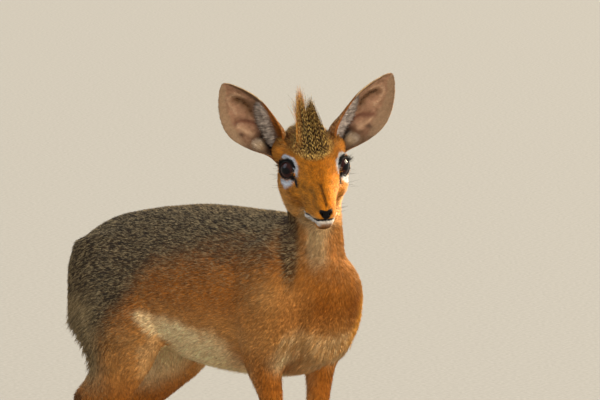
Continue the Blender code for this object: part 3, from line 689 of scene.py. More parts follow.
def skin_shape():
    """One closed skin: every loft and egg melted together in small cells, relaxed, and cut finer on the
    head."""
    trunk = []
    for y, top, low, wide, narrow in TRUNK:
        trunk.append((0, y, (top + low) / 2, wide, (top - low) / 2, (top - low) / 2, narrow))
    shapes = [loft(trunk, 70, 56), loft(NECK, 50, 40), loft(TAIL, 24, 16), *head_surfaces(), *leg_surfaces()]
    points, triangles = joined(shapes)
    rough = bpy.data.objects.new("rough", mesh_from("rough", points - PLAN_SHIFT, triangles))
    bpy.context.scene.collection.objects.link(rough)
    melt = rough.modifiers.new("melt", "REMESH")
    melt.mode = "VOXEL"
    melt.voxel_size = SKIN_VOXEL
    graph = bpy.context.evaluated_depsgraph_get()
    melted = bpy.data.meshes.new_from_object(rough.evaluated_get(graph))
    bpy.data.objects.remove(rough)
    points, edges, _ = arrays_of(melted)
    head = shares(points)[0]
    low = ease(0.2, 0.17, points[:, 2])
    points = relax(points, edges, 0.5 * (1 - head) * (1 - low), 18)
    low = ease(0.2, 0.17, points[:, 2])
    points = relax(points, edges, 0.5 * np.maximum(head, low), 4)
    quads = np.empty(len(melted.polygons) * 4, np.int32)
    melted.polygons.foreach_get("vertices", quads)
    quads = quads.reshape(-1, 4)
    on_head = head[quads].max(1) > 0.3
    finer = subdivided(points, quads, on_head)
    points, edges, _ = arrays_of(finer)
    head = shares(points)[0]
    points = relax(points, edges, 0.5 * head, 4)
    finer.vertices.foreach_set("co", points.astype(np.float32).ravel())
    work = bmesh.new()
    work.from_mesh(finer)
    work.verts.ensure_lookup_table()
    local = to_head(points)
    fine = near_eye(local, FINE_EYE_REACH) | ((local[:, 1] < FINE_MUZZLE_FRONT) & (head > 0.5))
    edges = [edge for edge in work.edges if fine[edge.verts[0].index] and fine[edge.verts[1].index]]
    bmesh.ops.subdivide_edges(work, edges=edges, cuts=1, use_grid_fill=True)
    bmesh.ops.triangulate(work, faces=work.faces)
    work.to_mesh(finer)
    work.free()
    points, edges, triangles = arrays_of(finer)
    return relax(points, edges, 0.45 * shares(points)[0], 2), triangles


def eye_axes(side):
    """The eye's own axes as the rows of a matrix, in the head's frame: nosewards along the slit, up the
    lids, out."""
    forward = math.cos(EYE_OUTWARD)
    level, rise = math.cos(HEAD_PITCH), math.sin(HEAD_PITCH)
    out = np.array([side * math.sin(EYE_OUTWARD), -forward * level, forward * rise])
    up = np.array([0, math.sin(EYE_SLANT), math.cos(EYE_SLANT)])
    up = unit(up - up @ out * out)
    along = np.cross(up, out) * -side
    return np.stack([along, up, out])


def eye_centre(side):
    """The middle of the eye on a side, in the head's frame."""
    return EYE_PLACE * [side, 1, 1]


def near_eye(local, reach):
    """Which points of the head's frame lie within a reach of either eye's centre."""
    left = np.linalg.norm(local - eye_centre(1), axis=1)
    right = np.linalg.norm(local - eye_centre(-1), axis=1)
    return np.minimum(left, right) < reach


def eye_polar(local, side):
    """Each point in the eye's frame, its distance from the eye's centre, and how far it lies from the
    slit's middle as a share of the opening: below 1 it is between the lids."""
    seen = (local - eye_centre(side)) @ eye_axes(side).T
    reach = np.linalg.norm(seen, axis=1)
    deep = np.maximum(seen[:, 2], 0.12 * reach)
    across = seen[:, 0] / deep / math.tan(EYE_OPENING_WIDE)
    rise = seen[:, 1] / deep / math.tan(EYE_OPENING_HIGH)
    pinch = 1 - LID_PINCH * np.clip(np.abs(across), 0, 1) ** 3
    opening = np.hypot(across, rise / pinch)
    return seen, reach, opening


def lid_loop(side, reach, count=72):
    """The edge of the lids as a loop: directions (tan w cos a, tan h sin a * pinch, 1) at a reach from the
    centre."""
    a = turns(count)
    across = np.cos(a)
    rise = np.sin(a) * (1 - LID_PINCH * np.abs(across) ** 3)
    wide, high = math.tan(EYE_OPENING_WIDE), math.tan(EYE_OPENING_HIGH)
    rays = np.stack([across * wide, rise * high, np.ones(count)], 1)
    return eye_centre(side) + unit(rays) * reach @ eye_axes(side)


def mouth_line(count=81):
    """The mouth from corner to corner in the head's frame: x = w sin a, y runs back as |sin a|^2.7, z drops
    as |sin a|^2.4."""
    a = np.linspace(-1, 1, count) * math.pi / 2
    share = np.abs(np.sin(a))
    back = MOUTH_FRONT + (MOUTH_CORNER - MOUTH_FRONT) * share**2.7
    return np.stack([MOUTH_HALF_WIDTH * np.sin(a), back, MOUTH_HEIGHT - MOUTH_DROP * share**2.4], 1)


def along_line(line, count=40):
    """Evenly spread points along a line of straight pieces, with any further columns carried along."""
    line = np.array(line)
    reach = np.concatenate([[0], np.cumsum(np.linalg.norm(np.diff(line[:, :3], axis=0), axis=1))])
    spots = np.linspace(0, reach[-1], count)
    return np.stack([np.interp(spots, reach, line[:, k]) for k in range(line.shape[1])], 1)


def off_line(places, line):
    """How far each place, folded onto the left side, lies outside a line's edge, whose half width is its
    last column."""
    folded = np.concatenate([np.abs(places[:, :1]), places[:, 1:]], 1)
    spots = along_line(line)
    widths = spots[:, 3] if spots.shape[1] > 3 else np.zeros(len(spots))
    return distance_to(folded, spots[:, :3], widths)


def distance_to(points, line, widths=0.0):
    """Each point's distance to the nearest of a line's points, less that point's own width, in blocks."""
    made = np.empty(len(points))
    for start in range(0, len(points), BLOCK):
        some = points[start : start + BLOCK]
        away = np.sqrt(((some[:, None] - line[None]) ** 2).sum(2))
        made[start : start + BLOCK] = (away - widths).min(1)
    return made


def nearest_on(points, line):
    """The points nearest to each point of a line."""
    return np.array([points[((points - place) ** 2).sum(1).argmin()] for place in line])


def shape_face(points, triangles):
    """Draws the skin in to the lids, opens it over the eyes, and cuts the mouth, the nostrils and the
    glands. Gives the points, and how far each one on the muzzle lies from the mouth."""
    local = to_head(points)
    head = shares(points)[0] > 0.5
    for side in (1, -1):
        seen, reach, opening = eye_polar(local, side)
        near = head & (reach < 0.024) & (seen[:, 2] > 0.05 * reach)
        lid = EYE_RADIUS + LID_THICKNESS * (1 - 0.35 * bell((opening, 1.05, 0.12)))
        fold = 0.0007 * bell((opening, 1.5, 0.14))
        hold = bell((np.maximum(opening - 1, 0), 0, 0.5))
        wanted = np.where(opening < 1, EYE_RADIUS - 0.0022 * ease(1.02, 0.93, opening), lid)
        drawn = reach + (wanted - reach) * hold - fold
        move = np.where(near, drawn / reach, 1)[:, None]
        local = eye_centre(side) + (local - eye_centre(side)) * move
    face = head & (local[:, 1] < FACE_FRONT)
    normals = point_normals(local, triangles)
    line = nearest_on(local[face], mouth_line())
    away = np.full(len(local), 1.0)
    away[face] = distance_to(local[face], line)
    sink = 0.0018 * bell((away, 0, 0.0009)) - 0.0004 * bell((away, 0.0026, 0.0012))
    sink -= 0.0018 * ease(-0.0075, -0.0135, local[:, 2]) * ease(-0.037, -0.048, local[:, 1]) * head
    narrow = ease(-0.0085, -0.0150, local[:, 2]) * ease(0.0045, 0.0100, np.abs(local[:, 0]))
    sink += 0.0040 * narrow * ease(-0.043, -0.052, local[:, 1]) * head
    sink += 0.0009 * ease(0.0002, -0.0016, off_line(local, GLAND)) * head
    for side in (1, -1):
        slit = (local - [side * 0.0046, -0.0640, -0.0012]) @ turn_about("z", side * math.radians(35))
        shape = np.linalg.norm(slit / [0.0020, 0.0046, 0.0017], axis=1)
        sink += 0.0026 * ease(1.15, 0.5, shape) * head
    return from_head(local - normals * sink[:, None]), away


# The coat. Its markings, and the light and shade painted into it, are read from places alone, so the skin
# and the hair take the same pattern.


def lateral(points):
    """How far each place lies to either side of the animal's middle."""
    return np.abs(points[:, 0])


def coat_of(points):
    """Colour, share of banded hair, length and lift of the coat at each place, and how bare the skin is
    there."""
    x, y, z = points.T
    wide = lateral(points)
    head, neck, low = shares(points)
    wander = drift(points, 0.05, 3) * 0.005 + drift(points, 0.014, 4) * 0.003

    # The trunk: banded back over tawny flanks over a cream belly
    reach = (-0.125, -0.079, -0.003, 0.029, 0.049, 0.074, 0.104, 0.140)
    edge = np.interp(y, reach, [0.338, 0.339, 0.326, 0.320, 0.300, 0.268, 0.232, 0.196])
    above = z - edge + wander
    banded = ease(-0.026, 0.020, above)
    speckle = ease(-0.085, 0.005, above)
    shoulder = bell((y, -0.128, 0.030), (z, 0.296, 0.022)) * (wide > 0.03)
    thigh_front = ease(0.03, 0.055, y) * ease(0.115, 0.085, y) * ease(0.275, 0.235, z)
    back_tone = blend(GREY, CHARCOAL, 0.35 * ease(0.04, 0.10, y) * ease(0.24, 0.27, z))
    colour = layered(
        blend(TAWNY, CHESTNUT, 0.45 + 0.20 * drift(points, 0.03, 5)),
        (CHESTNUT * 0.75, 0.35 * speckle),
        (SAND, 0.55 * ease(0.295, 0.25, z) * ease(0.06, 0.03, y)),
        (SAND, 0.55 * shoulder),
        (SAND, 0.50 * thigh_front),
        (back_tone, banded),
    )
    grizzle = 0.12 + 0.88 * np.maximum(banded, 0.70 * speckle)
    length = 0.0068 + 0.0006 * banded
    lift = 0.22 + 0 * x

    # The thighs: tawny in front, grey behind, cream inside, with a pale stripe down the front edge
    thigh = ease(0.02, 0.06, y) * ease(0.30, 0.25, z)
    inner = thigh * ease(0.034, 0.022, wide) * ease(0.16, 0.20, z)
    rear = ease(0.082, 0.125, y + wander) * ease(0.298, 0.256, z) * ease(0.15, 0.18, z)
    colour = blend(colour, blend(GREY, PALE_BAND, 0.68), 0.90 * rear)
    grizzle = blend(grizzle[:, None], np.full((len(x), 1), 0.62), rear)[:, 0]
    fluff = ease(0.105, 0.135, y) * ease(0.275, 0.245, z) * ease(0.196, 0.216, z)
    length = length + 0.0050 * fluff
    lift = lift + 0.20 * fluff
    stripe = distance_to(np.stack([wide, y, z], 1), along_line(THIGH_STRIPE))
    colour = blend(colour, blend(SAND, CREAM, 0.35), 0.6 * ease(0.012, 0.003, stripe + wander))

    # The cream belly, which ends on the flank in a blunt point before the thigh
    under_at = (-0.12, -0.093, -0.075, -0.059, -0.037, -0.014, 0.020, 0.046, 0.060)
    under = np.interp(y, under_at, [0.219, 0.224, 0.232, 0.241, 0.253, 0.259, 0.265, 0.267, 0.262])
    belly = ease(0.010, -0.010, z - under + 1.5 * wander)
    belly = belly * ease(-0.115, -0.085, y) * ease(0.062, 0.042, y + wander)
    belly = belly * (0.72 + 0.28 * ease(-0.080, -0.020, y))
    over_thigh = np.interp(y, [0.000, 0.018, 0.036, 0.046, 0.058], [0.180, 0.230, 0.246, 0.252, 0.262])
    belly = belly * np.where(wide > 0.034, ease(-0.006, 0.006, z - over_thigh + wander), 1)

    # The breast: a brown band of painted shade where the neck meets the chest, over a pale chest that is
    # streaked and brightest beside the forelegs, with a painted rim light of gold down its left side
    front = ease(-0.105, -0.135, y) * (1 - neck)
    streaks = drift(points * [1, 1, 0.25], 0.007, 7)
    # Painted shade: a brown band where the neck meets the chest
    brown = front * bell((z, 0.285, 0.015)) * ease(0.046, 0.026, wide)
    breast = front * ease(0.268, 0.254, z + wander) * ease(0.054, 0.044, wide + 0.5 * wander)
    beside = bell((wide, 0.036, 0.011), (y, -0.127, 0.012), (z, 0.234, 0.012))
    upper = front * ease(0.295, 0.315, z) * ease(0.045, 0.03, wide)
    colour = layered(
        colour,
        (CHESTNUT * 0.75, 0.55 * brown * (0.8 + 0.2 * streaks)),
        (blend(SAND, CREAM, 0.35 + 0.35 * streaks), 0.85 * breast),
        (TAWNY, 0.6 * upper),
        # Painted rim light: gold down the left side of the breast
        (BREAST_RIM_LIGHT_GOLD, 0.80 * front * ease(0.012, 0.034, x)),
    )
    grizzle = grizzle * (1 - 0.75 * front * ease(0.34, 0.31, z))
    under_chest = ease(0.222, 0.213, z) * ease(0.196, 0.206, z)
    under_chest = under_chest * ease(0.030, 0.020, wide) * ease(-0.16, -0.14, y)
    pale = np.maximum.reduce([belly, inner, under_chest * (y < 0.05), np.clip(1.3 * beside, 0, 1)])
    colour = blend(colour, CREAM, pale)
    grizzle = grizzle * (1 - 0.9 * np.maximum(pale, breast))
    length = length + 0.0030 * np.maximum(breast, under_chest) + 0.002 * belly

    # The neck: sandy with fine dark strokes, pale down the throat, and banded along the nape
    facing = np.interp(z, [0.33, 0.39], [-0.25, -0.62])
    front_of_neck = -(y + 0.130) * np.cos(facing) + x * np.sin(facing)
    strokes = drift(points * [1, 1, 0.18], 0.005, 6)
    sandy = ease(0.004, 0.018, front_of_neck) * (0.78 + 0.22 * strokes)
    throat = ease(0.0130, 0.0030, distance_to(points, along_line(THROAT_LINE)) + 0.4 * wander)
    throat = throat * ease(0.315, 0.335, z)
    nape = ease(-0.006, -0.022, front_of_neck)
    neck_colour = layered(
        blend(TAWNY, CHESTNUT, 0.20 + 0.30 * strokes),
        (NECK_SAND, sandy),
        (CHESTNUT * 0.85, 0.60 * ease(0.338, 0.308, z)),
        (CREAM, 0.95 * throat * (0.8 + 0.2 * strokes)),
        (GREY, 0.85 * nape),
    )
    colour = blend(colour, neck_colour, neck)
    grizzle = grizzle * (1 - neck) + neck * (0.18 + 0.75 * nape)
    across_collar = -y - np.abs(x - 0.001) + 0.4 * wander
    taper = 0.006 * ease(0.335, 0.295, z)
    collar = ease(0.083, 0.093, across_collar - taper) * ease(0.118, 0.106, across_collar + taper)
    collar = collar * ease(0.290, 0.330, z) * (1 - head) * ease(-0.075, -0.095, y)
    colour = blend(colour, CHARCOAL * 1.5, 0.80 * collar)
    grizzle = np.maximum(grizzle, 0.95 * collar)
    far_patch = ease(0.004, 0.012, x) * ease(0.290, 0.305, z)
    far_patch = far_patch * ease(-0.150, -0.162, y) * ease(0.350, 0.335, z)
    colour = blend(colour, GREY, 0.35 * far_patch)
    length = length * (1 - neck) + neck * (0.0076 + 0.002 * throat)

    # The lower legs
    leg_colour = blend(TAWNY * 0.95, CHESTNUT, 0.60 - 0.35 * ease(0.03, 0.02, wide))
    leg_colour = blend(leg_colour, CHESTNUT * 0.8, 0.4 * ease(0.08, 0.03, z))
    beside_trunk = np.maximum(ease(0.016, 0.026, wide), ease(0.206, 0.198, z))
    leg = ease(0.235, 0.19, z - 0.022 * (y < -0.05)) * beside_trunk
    colour = blend(colour, leg_colour, leg * np.where(y > 0, ease(0.215, 0.165, z), 1) * (1 - 0.7 * pale))
    grizzle = grizzle * (1 - 0.75 * ease(0.20, 0.15, z))
    hock = ease(0.012, 0.004, np.hypot(np.abs(z - 0.168) * 0.7, np.maximum(0, hock_back(points))))
    colour = blend(colour, HOCK_BROWN, 0.85 * hock * (y > 0.1))
    length = length * (1 - low) + low * 0.0042
    length = length * (1 - ease(0.05, 0.02, z)) + 0.0034 * ease(0.05, 0.02, z)

    # The tail
    tail = ease(0.182, 0.190, y) * ease(0.015, 0.011, wide) * ease(0.24, 0.25, z) * ease(0.315, 0.305, z)
    colour = blend(colour, GREY, tail)

    # The head
    bare = np.zeros(len(points))
    on = head > 0.004
    tint, head_length, head_grizzle, head_bare = head_coat(to_head(points[on]))
    share = head[on]
    colour[on] = blend(colour[on], tint, share)
    length[on] = length[on] * (1 - share) + head_length * share
    grizzle[on] = grizzle[on] * (1 - share) + head_grizzle * share
    bare[on] = head_bare * share
    return {"coat": colour, "grizzle": grizzle, "length": length, "lift": lift, "bare": bare}


def hock_back(points):
    """How far a point lies in front of the hock's point, for each hind leg with its own step."""
    step = np.where(points[:, 0] > 0, STEPS["hindleg_left"], STEPS["hindleg_right"])
    return 0.160 + step - points[:, 1]


def head_coat(local):
    """The head's colour, hair length, share of banded hair and bareness, from places in the head's
    frame."""
    x, y, z = local.T
    wide = np.abs(x)
    wander = drift(local, 0.012, 8) * 0.0006 + drift(local, 0.004, 10) * 0.0003
    colour = blend(FACE_GOLD, TAWNY, 0.40 + 0.30 * drift(local, 0.02, 9))
    top = ease(0.017, 0.008, wide) * ease(0.004, -0.010, y) * ease(-0.004, 0.004, z)
    jaw = ease(-0.022, -0.034, z)
    fleck = np.clip(0.6 * drift(local, 0.007, 11) + 0.7 * drift(local * [1, 0.5, 1], 0.003, 12), -1, 1)
    # Painted highlight: a gold streak down the left side of the nose
    painted_highlight = bell((x, 0.0062, 0.0030)) * ease(-0.016, -0.026, y)
    painted_highlight = painted_highlight * ease(-0.054, -0.046, y) * ease(0.002, 0.006, z)
    colour = layered(
        colour,
        (BRIDGE_GOLD, 0.75 * top),
        (SAND, 0.45 * jaw + 0.15 * ease(0.012, 0.022, wide) * ease(-0.008, -0.022, z)),
        (CHESTNUT * 0.45, np.clip(0.12 + 0.46 * fleck, 0, 1)),
        (BRIDGE_HIGHLIGHT_GOLD, 0.20 * painted_highlight),
    )
    length = 0.0034 + 0.0026 * ease(-0.015, 0.02, y) + 0.0024 * ease(-0.02, -0.035, z)
    grizzle = np.full(len(local), 0.12)

    # Painted shade: soft dark lines down the nose, beside it and under the eye, which are the shadows of its
    # wrinkles, and a dark mark by the bridge
    streak = distance_to(local, along_line(BRIDGE_LINE))
    snout = ease(0.0054, 0.0000, off_line(local, SNOUT_SHADE) + wander) * (x < 0)
    crease = ease(0.0036, 0.0000, off_line(local, CHEEK_CREASE) + 1.6 * wander) * (x < 0)
    mark = np.linalg.norm((local - [-0.0148, -0.0306, 0.0033]) / [1.2, 1.8, 1], axis=1)
    colour = layered(
        colour,
        (CHESTNUT * 0.14, 0.85 * ease(0.0021, 0.0003, streak + 0.6 * wander)),
        (SNOUT_SHADOW_BROWN, 0.60 * snout),
        (CHESTNUT * 0.35, 0.50 * crease),
        (CHESTNUT * 0.25, 0.70 * ease(0.0030, 0.0004, mark)),
    )

    # The banded crown, whose front edge is a blunt V between the eyes
    reach = (0, 0.005, 0.0105, 0.0145, 0.0180, 0.0210, 0.029)
    edge = np.interp(wide, reach, [-0.0118, -0.0111, -0.0076, -0.0018, 0.0050, 0.0130, 0.023])
    into = y - edge + 2.2 * wander
    crown = ease(-0.0030, 0.0045, into) * ease(0.002, 0.009, z)
    sides = ease(0.014, 0.021, wide) * crown
    colour = blend(colour, CHARCOAL * 0.35 + TAWNY * 0.55, 0.80 * crown)
    colour = blend(colour, TAWNY * 0.85, 0.55 * sides)
    grizzle = np.maximum(grizzle, crown * (1 - 0.35 * sides))
    length = length + 0.0034 * ease(0.002, 0.012, into) * crown
    behind = ease(0.030, 0.042, y) * (1 - ease(0.02, 0.03, wide))
    colour = blend(colour, GREY, 0.7 * behind)
    grizzle = np.maximum(grizzle, 0.8 * behind)

    # White above and below the eye, painted a bluish grey as if in shade, and black lids, corners and gland
    bare = np.zeros(len(local))
    white = ease(0.0008, -0.0008, off_line(local, WHITE_BAND) + 1.3 * wander)
    white = np.maximum(white, ease(0.0012, -0.0010, off_line(local, WHITE_PATCH) + 1.8 * wander))
    colour = blend(colour, SHADED_EYE_WHITE, 0.95 * white)
    grizzle = grizzle * (1 - white)
    length = length * (1 - 0.30 * white)
    gland = ease(0.0004, -0.0004, off_line(local, GLAND))
    for side in (1, -1):
        seen, depth, _ = eye_polar(local, side)
        here = (x * side > 0) & (seen[:, 2] > -0.001) & (depth < 0.0185)
        flat = seen[:, :2] / (EYE_RADIUS * np.sin([EYE_OPENING_WIDE, EYE_OPENING_HIGH]))
        out_by = np.hypot(flat[:, 0], flat[:, 1])
        angle = np.degrees(np.arctan2(flat[:, 1], flat[:, 0]))
        brow = ease(-20, 60, angle) * ease(190, 150, angle)
        width = 1.11 + 0.24 * brow + 0.05 * np.cos(np.radians(angle))
        rim = ease(width + 0.05, width - 0.04, out_by + 8 * wander) * here
        corner = ease(17, 8, np.abs(angle - 150)) * ease(2.2, 1.8, out_by) * here
        inner_corner = ease(16, 8, np.abs(angle + 32)) * ease(1.75, 1.55, out_by) * here
        black = np.maximum.reduce([rim, corner, inner_corner])
        colour = blend(colour, BLACK, black)
        grizzle = grizzle * (1 - black)
        bare = np.maximum(bare, ease(1.16, 1.10, out_by) * here)
    colour = blend(colour, BLACK, gland)
    bare = np.maximum(bare, 0.9 * gland)

    # White lips and chin with a brown middle, a black nose pad, and a dark spot on the jaw
    front = ease(-0.037, -0.044, y)
    lip_at = (-0.0660, -0.0625, -0.0585, -0.0527, -0.048, -0.044)
    lip_edge = np.interp(y, lip_at, [-0.0063, -0.0073, -0.0089, -0.0121, -0.0146, -0.0162])
    over = z - lip_edge
    lips = ease(0.0006, -0.0006, over + 0.5 * wander) * front
    strip = bell((over, 0.0012, 0.0008)) * front * ease(0.004, 0.008, wide)
    colour = blend(colour, CREAM * 0.7, 0.50 * strip)
    lips = lips * ease(-0.0088, -0.0066, over + wander)
    colour = blend(colour, WHITE * 0.9, 0.92 * lips)
    beard = ease(-0.0094, -0.0120, z + 0.8 * wander) * ease(0.0072, 0.0034, np.abs(x - 0.0006)) * front
    colour = blend(colour, TAWNY * 0.50, 0.85 * beard)
    colour = blend(colour, SAND, ease(-0.024, -0.030, z) * ease(-0.03, -0.04, y) * 0.6)
    throat = ease(-0.024, -0.034, z) * ease(0.016, 0.009, wide) * ease(-0.045, -0.035, y)
    colour = blend(colour, CREAM, 0.75 * throat)
    pad_at = (-0.0050, -0.0040, -0.0020, 0.0006, 0.0022, 0.0032)
    pad_wide = (0.0, 0.0030, 0.0058, 0.0066, 0.0052, 0.0)
    pad = np.interp(z + 0.0008 * bell((x, 0, 0.0018)), pad_at, pad_wide)
    nose = ease(0.0006, -0.0004, wide - pad) * ease(-0.0545, -0.0575, y)
    spot = np.linalg.norm((local - [-0.0117, -0.0199, -0.0524]) / [1.2, 1, 0.7], axis=1)
    colour = blend(colour, BLACK * 1.5, 0.8 * ease(0.0030, 0.0018, spot))
    colour = blend(colour, BLACK * 0.6, nose)
    bare = np.maximum(bare, nose)
    length = length * (1 - 0.55 * ease(-0.034, -0.058, y)) * (1 - 0.1 * lips)
    return colour, length, grizzle * (1 - lips), bare


def lie_of(points, normals):
    """The way the hair lies, along the skin: back along the trunk and sinking down the flanks, down the
    neck and the legs, and from the nose over the head to the nape."""
    x, y, z = points.T
    head, neck, _ = shares(points)
    wide = lateral(points)
    down = ease(0.345, 0.23, z)
    way = np.stack([0 * x, 1 + 0 * x, -0.12 - 0.30 * down], 1)
    way[:, 2] -= 2.2 * ease(0.09, 0.18, y) + 0.5 * ease(-0.07, -0.11, y)
    legs = ease(0.215, 0.17, z) * ease(0.012, 0.022, wide)
    legs = np.maximum(legs, ease(0.26, 0.21, z) * ease(0.055, 0.085, y))
    legs = np.maximum(legs, ease(0.25, 0.215, z) * ease(0.022, 0.032, wide) * ease(-0.07, -0.09, y))
    way = blend(way, np.array([0.0, 0.12, -1.0]), legs)
    chest = ease(-0.12, -0.16, y) * (1 - neck)
    outward = 0.6 * np.sign(x) * ease(0, 0.02, wide)
    way = blend(way, np.stack([outward, 0.25 + 0 * x, -1 + 0 * x], 1), chest)
    way = blend(way, np.array([0.0, 0.30, -1.0]), neck)
    local = to_head(points)
    outward = 0.55 * np.sign(local[:, 0]) * ease(0, 0.012, np.abs(local[:, 0]))
    fan = np.stack([outward, 1 + 0 * x, np.where(local[:, 2] > 0.01, 0.15, -0.35)], 1)
    way = blend(way, fan @ HEAD_AXES.T, head)
    way = way + 0.10 * np.stack([drift(points, 0.03, k) for k in (21, 22, 23)], 1)
    return unit(way - (way * normals).sum(1, keepdims=True) * normals)


def scatter(points, triangles, weight, count, draw):
    """Random places on a surface: a triangle drawn by its area times its mean weight, and a point drawn
    evenly in it. Gives the triangles and the shares of their corners."""
    a, b, c = (points[triangles[:, k]] for k in range(3))
    chance = np.linalg.norm(np.cross(b - a, c - a), axis=1) * weight[triangles].mean(1)
    total = np.cumsum(chance)
    chosen = np.searchsorted(total, draw.uniform(0, total[-1], count))
    r = np.sqrt(draw.uniform(size=count))
    s = draw.uniform(size=count)
    return triangles[chosen], np.stack([1 - r, r * (1 - s), r * s], 1)


def at(values, corners, share):
    """Values of a surface's points read at scattered places."""
    if values.ndim == 1:
        return (values[corners] * share).sum(1)
    return np.einsum("ijk,ij->ik", values[corners], share)


def turned(a, b):
    """How far round a direction points, from 0 to 1."""
    return np.arctan2(a, b) / (2 * math.pi) + 0.5


def unwrap(points):
    """Where a place lies on a flat map of the skin: distance along a limb or the trunk against the angle
    round it, with a strip of the map for the trunk, the head, the neck and each leg."""
    x, y, z = points.T
    head, neck, _ = shares(points)
    local = to_head(points)
    along = np.clip((y + 0.2) / 0.42, 0, 1)
    made = np.stack([0.02 + 0.94 * along, 0.02 + 0.40 * turned(x, z - 0.29)], 1)
    on_neck = neck > 0.5
    along = np.clip((z - 0.3) / 0.14, 0, 1)
    made[on_neck] = np.stack([0.50 + 0.46 * along, 0.72 + 0.24 * turned(x, -(y + 0.13))], 1)[on_neck]
    on_head = head > 0.5
    along = np.clip((local[:, 1] + 0.07) / 0.13, 0, 1)
    around = turned(local[:, 0], local[:, 2] + 0.005)
    made[on_head] = np.stack([0.02 + 0.44 * along, 0.72 + 0.24 * around], 1)[on_head]
    on_leg = (z < 0.235) & (lateral(points) > 0.014)
    strip = 0.46 + 0.12 * (x > 0)
    start = np.where(y > 0, 0.02, 0.50)
    around = turned(y - np.where(y > 0, 0.14, -0.105), lateral(points) - 0.032)
    made[on_leg] = np.stack([start + 0.46 * z / 0.24, strip + 0.10 * around], 1)[on_leg]
    return made


# Large odd numbers that stir a cell's three whole numbers and a seed into one
HASH_CELL = np.array([73856093, 19349663, 83492791])
HASH_SEED = 374761393
HASH_FIRST = 1274126177
HASH_SECOND = 2246822519


def hashed(cells, seed):
    """A number from 0 to 1 for each cell of three whole numbers, always the same for the same cell and
    seed."""
    stirred = (cells * HASH_CELL).sum(1) + seed * HASH_SEED
    stirred = (stirred ^ (stirred >> 13)) * HASH_FIRST & 0xFFFFFFFF
    stirred = (stirred ^ (stirred >> 16)) * HASH_SECOND & 0xFFFFFFFF
    return ((stirred ^ (stirred >> 15)) & 0xFFFFFF) / 0xFFFFFF


def locks(places, size, seed):
    """Gathers places round scattered centres: each goes to the nearest of the centres of the 27 cubes round
    it, where a cube's centre is its corner plus a random share of its side. Gives that centre and the cube,
    as its key."""
    cube = np.floor(places / size).astype(np.int64)
    nearest = np.full(len(places), np.inf)
    centre = np.zeros_like(places)
    key = np.zeros_like(cube)
    for step in np.ndindex(3, 3, 3):
        cell = cube + np.array(step) - 1
        spot = (cell + np.stack([hashed(cell, seed + k) for k in range(3)], 1)) * size
        away = ((spot - places) ** 2).sum(1)
        closer = away < nearest
        nearest = np.where(closer, away, nearest)
        centre[closer] = spot[closer]
        key[closer] = cell[closer]
    return centre, key


def tuft_piece(name, material, root, way, out, length, width, lift, values, map_place):
    """Tufts as slim closed pyramids: a three-cornered foot that is sunk in the skin, and a tip at root +
    length * (cos(lift) * way + sin(lift) * out)."""
    side = np.cross(out, way)
    sunk = root - out * TUFT_SUNK
    foot_a = sunk + side * width[:, None] / 2
    foot_b = sunk - side * width[:, None] / 2
    crown = root + out * width[:, None] * 0.25 + way * length[:, None] * 0.18
    tip = root + length[:, None] * (np.cos(lift)[:, None] * way + np.sin(lift)[:, None] * out)
    points = np.stack([foot_a, foot_b, crown, tip], 1).reshape(-1, 3)
    one = np.array([[0, 2, 1], [0, 1, 3], [1, 2, 3], [2, 0, 3]])
    a, b, c, d = (points[k] for k in range(4))
    if np.dot(np.cross(b - a, c - a), d - a) < 0:
        one = one[:, ::-1]
    triangles = (one[None] + 4 * np.arange(len(root))[:, None, None]).reshape(-1, 3)
    along = np.tile([0.0, 0.0, 0.18, 1.0], len(root))
    spread = {key: np.repeat(value, 4, 0) for key, value in values.items()}
    mesh = mesh_from(name, points, triangles, {**spread, "along": along})
    corner = np.array([[-0.5, 0.0], [0.5, 0.0], [0.0, 0.2], [0.0, 1.0]]) * TUFT_PATCH
    lay_map(mesh, (map_place[:, None] + corner[None]).reshape(-1, 2), triangles)
    piece(name, mesh, material)


def hair_piece(name, material, root, start, end, length, width, values, map_place, bars=1.0):
    """Longer hairs as closed tapering tubes, given in the head's frame, that bend from one direction to
    another: root + length * (start * t + (end - start) * t^2 / 2), with a radius of width / 2 * (1 -
    t)^0.7. bars counts each hair's bars."""
    steps, sides, count = HAIR_STEPS, HAIR_SIDES, len(root)
    root, start, end = from_head(root), start @ HEAD_AXES.T, end @ HEAD_AXES.T
    t = np.linspace(0, 1, steps)[None, :, None]
    path = root[:, None] + length[:, None, None] * (start[:, None] * t + (end - start)[:, None] * t**2 / 2)
    tangent = unit(start[:, None] + (end - start)[:, None] * t)
    side = unit(np.cross(tangent, np.array([0.3, -0.5, 0.81])))
    up = np.cross(side, tangent)
    radius = width / 2 * np.maximum(1 - t, 0.04) ** 0.7
    rings = []
    for k in range(sides):
        angle = 2 * math.pi * k / sides
        rings.append(path + radius * (math.cos(angle) * side + math.sin(angle) * up))
    rings = np.stack(rings, 2)
    first, one = ring_surface(rings[0])
    per = len(first)
    caps = np.stack([rings[:, 0].mean(1), rings[:, -1].mean(1)], 1)
    points = np.concatenate([rings.reshape(count, -1, 3), caps], 1).reshape(-1, 3)
    triangles = (one[None] + per * np.arange(count)[:, None, None]).reshape(-1, 3)
    along = np.concatenate([np.repeat(np.linspace(0, 1, steps), sides), [0, 1]])
    spread = {key: np.repeat(value, per, 0) for key, value in values.items()}
    counted = along[None] * (bars * np.ones(count))[:, None]
    mesh = mesh_from(name, points, triangles, {**spread, "along": counted.ravel()})
    sideways = np.concatenate([np.tile(np.linspace(-0.5, 0.5, sides), steps), [0, 0]])
    places = map_place[:, None] + np.stack([sideways, along], 1)[None] * TUFT_PATCH
    lay_map(mesh, places.reshape(-1, 2), triangles)
    piece(name, mesh, material)


def dark_hairs(name, material, root, start, end, length, width, colour, place):
    """Fine plain hairs in the head's frame, all of one colour and at one place of the map."""
    count = len(root)
    tint = np.tile(colour, (count, 1))
    values = {"coat": tint, "tick": tint, "band": np.zeros(count)}
    hair_piece(name, material, root, start, end, length, width, values, np.tile(place, (count, 1)))


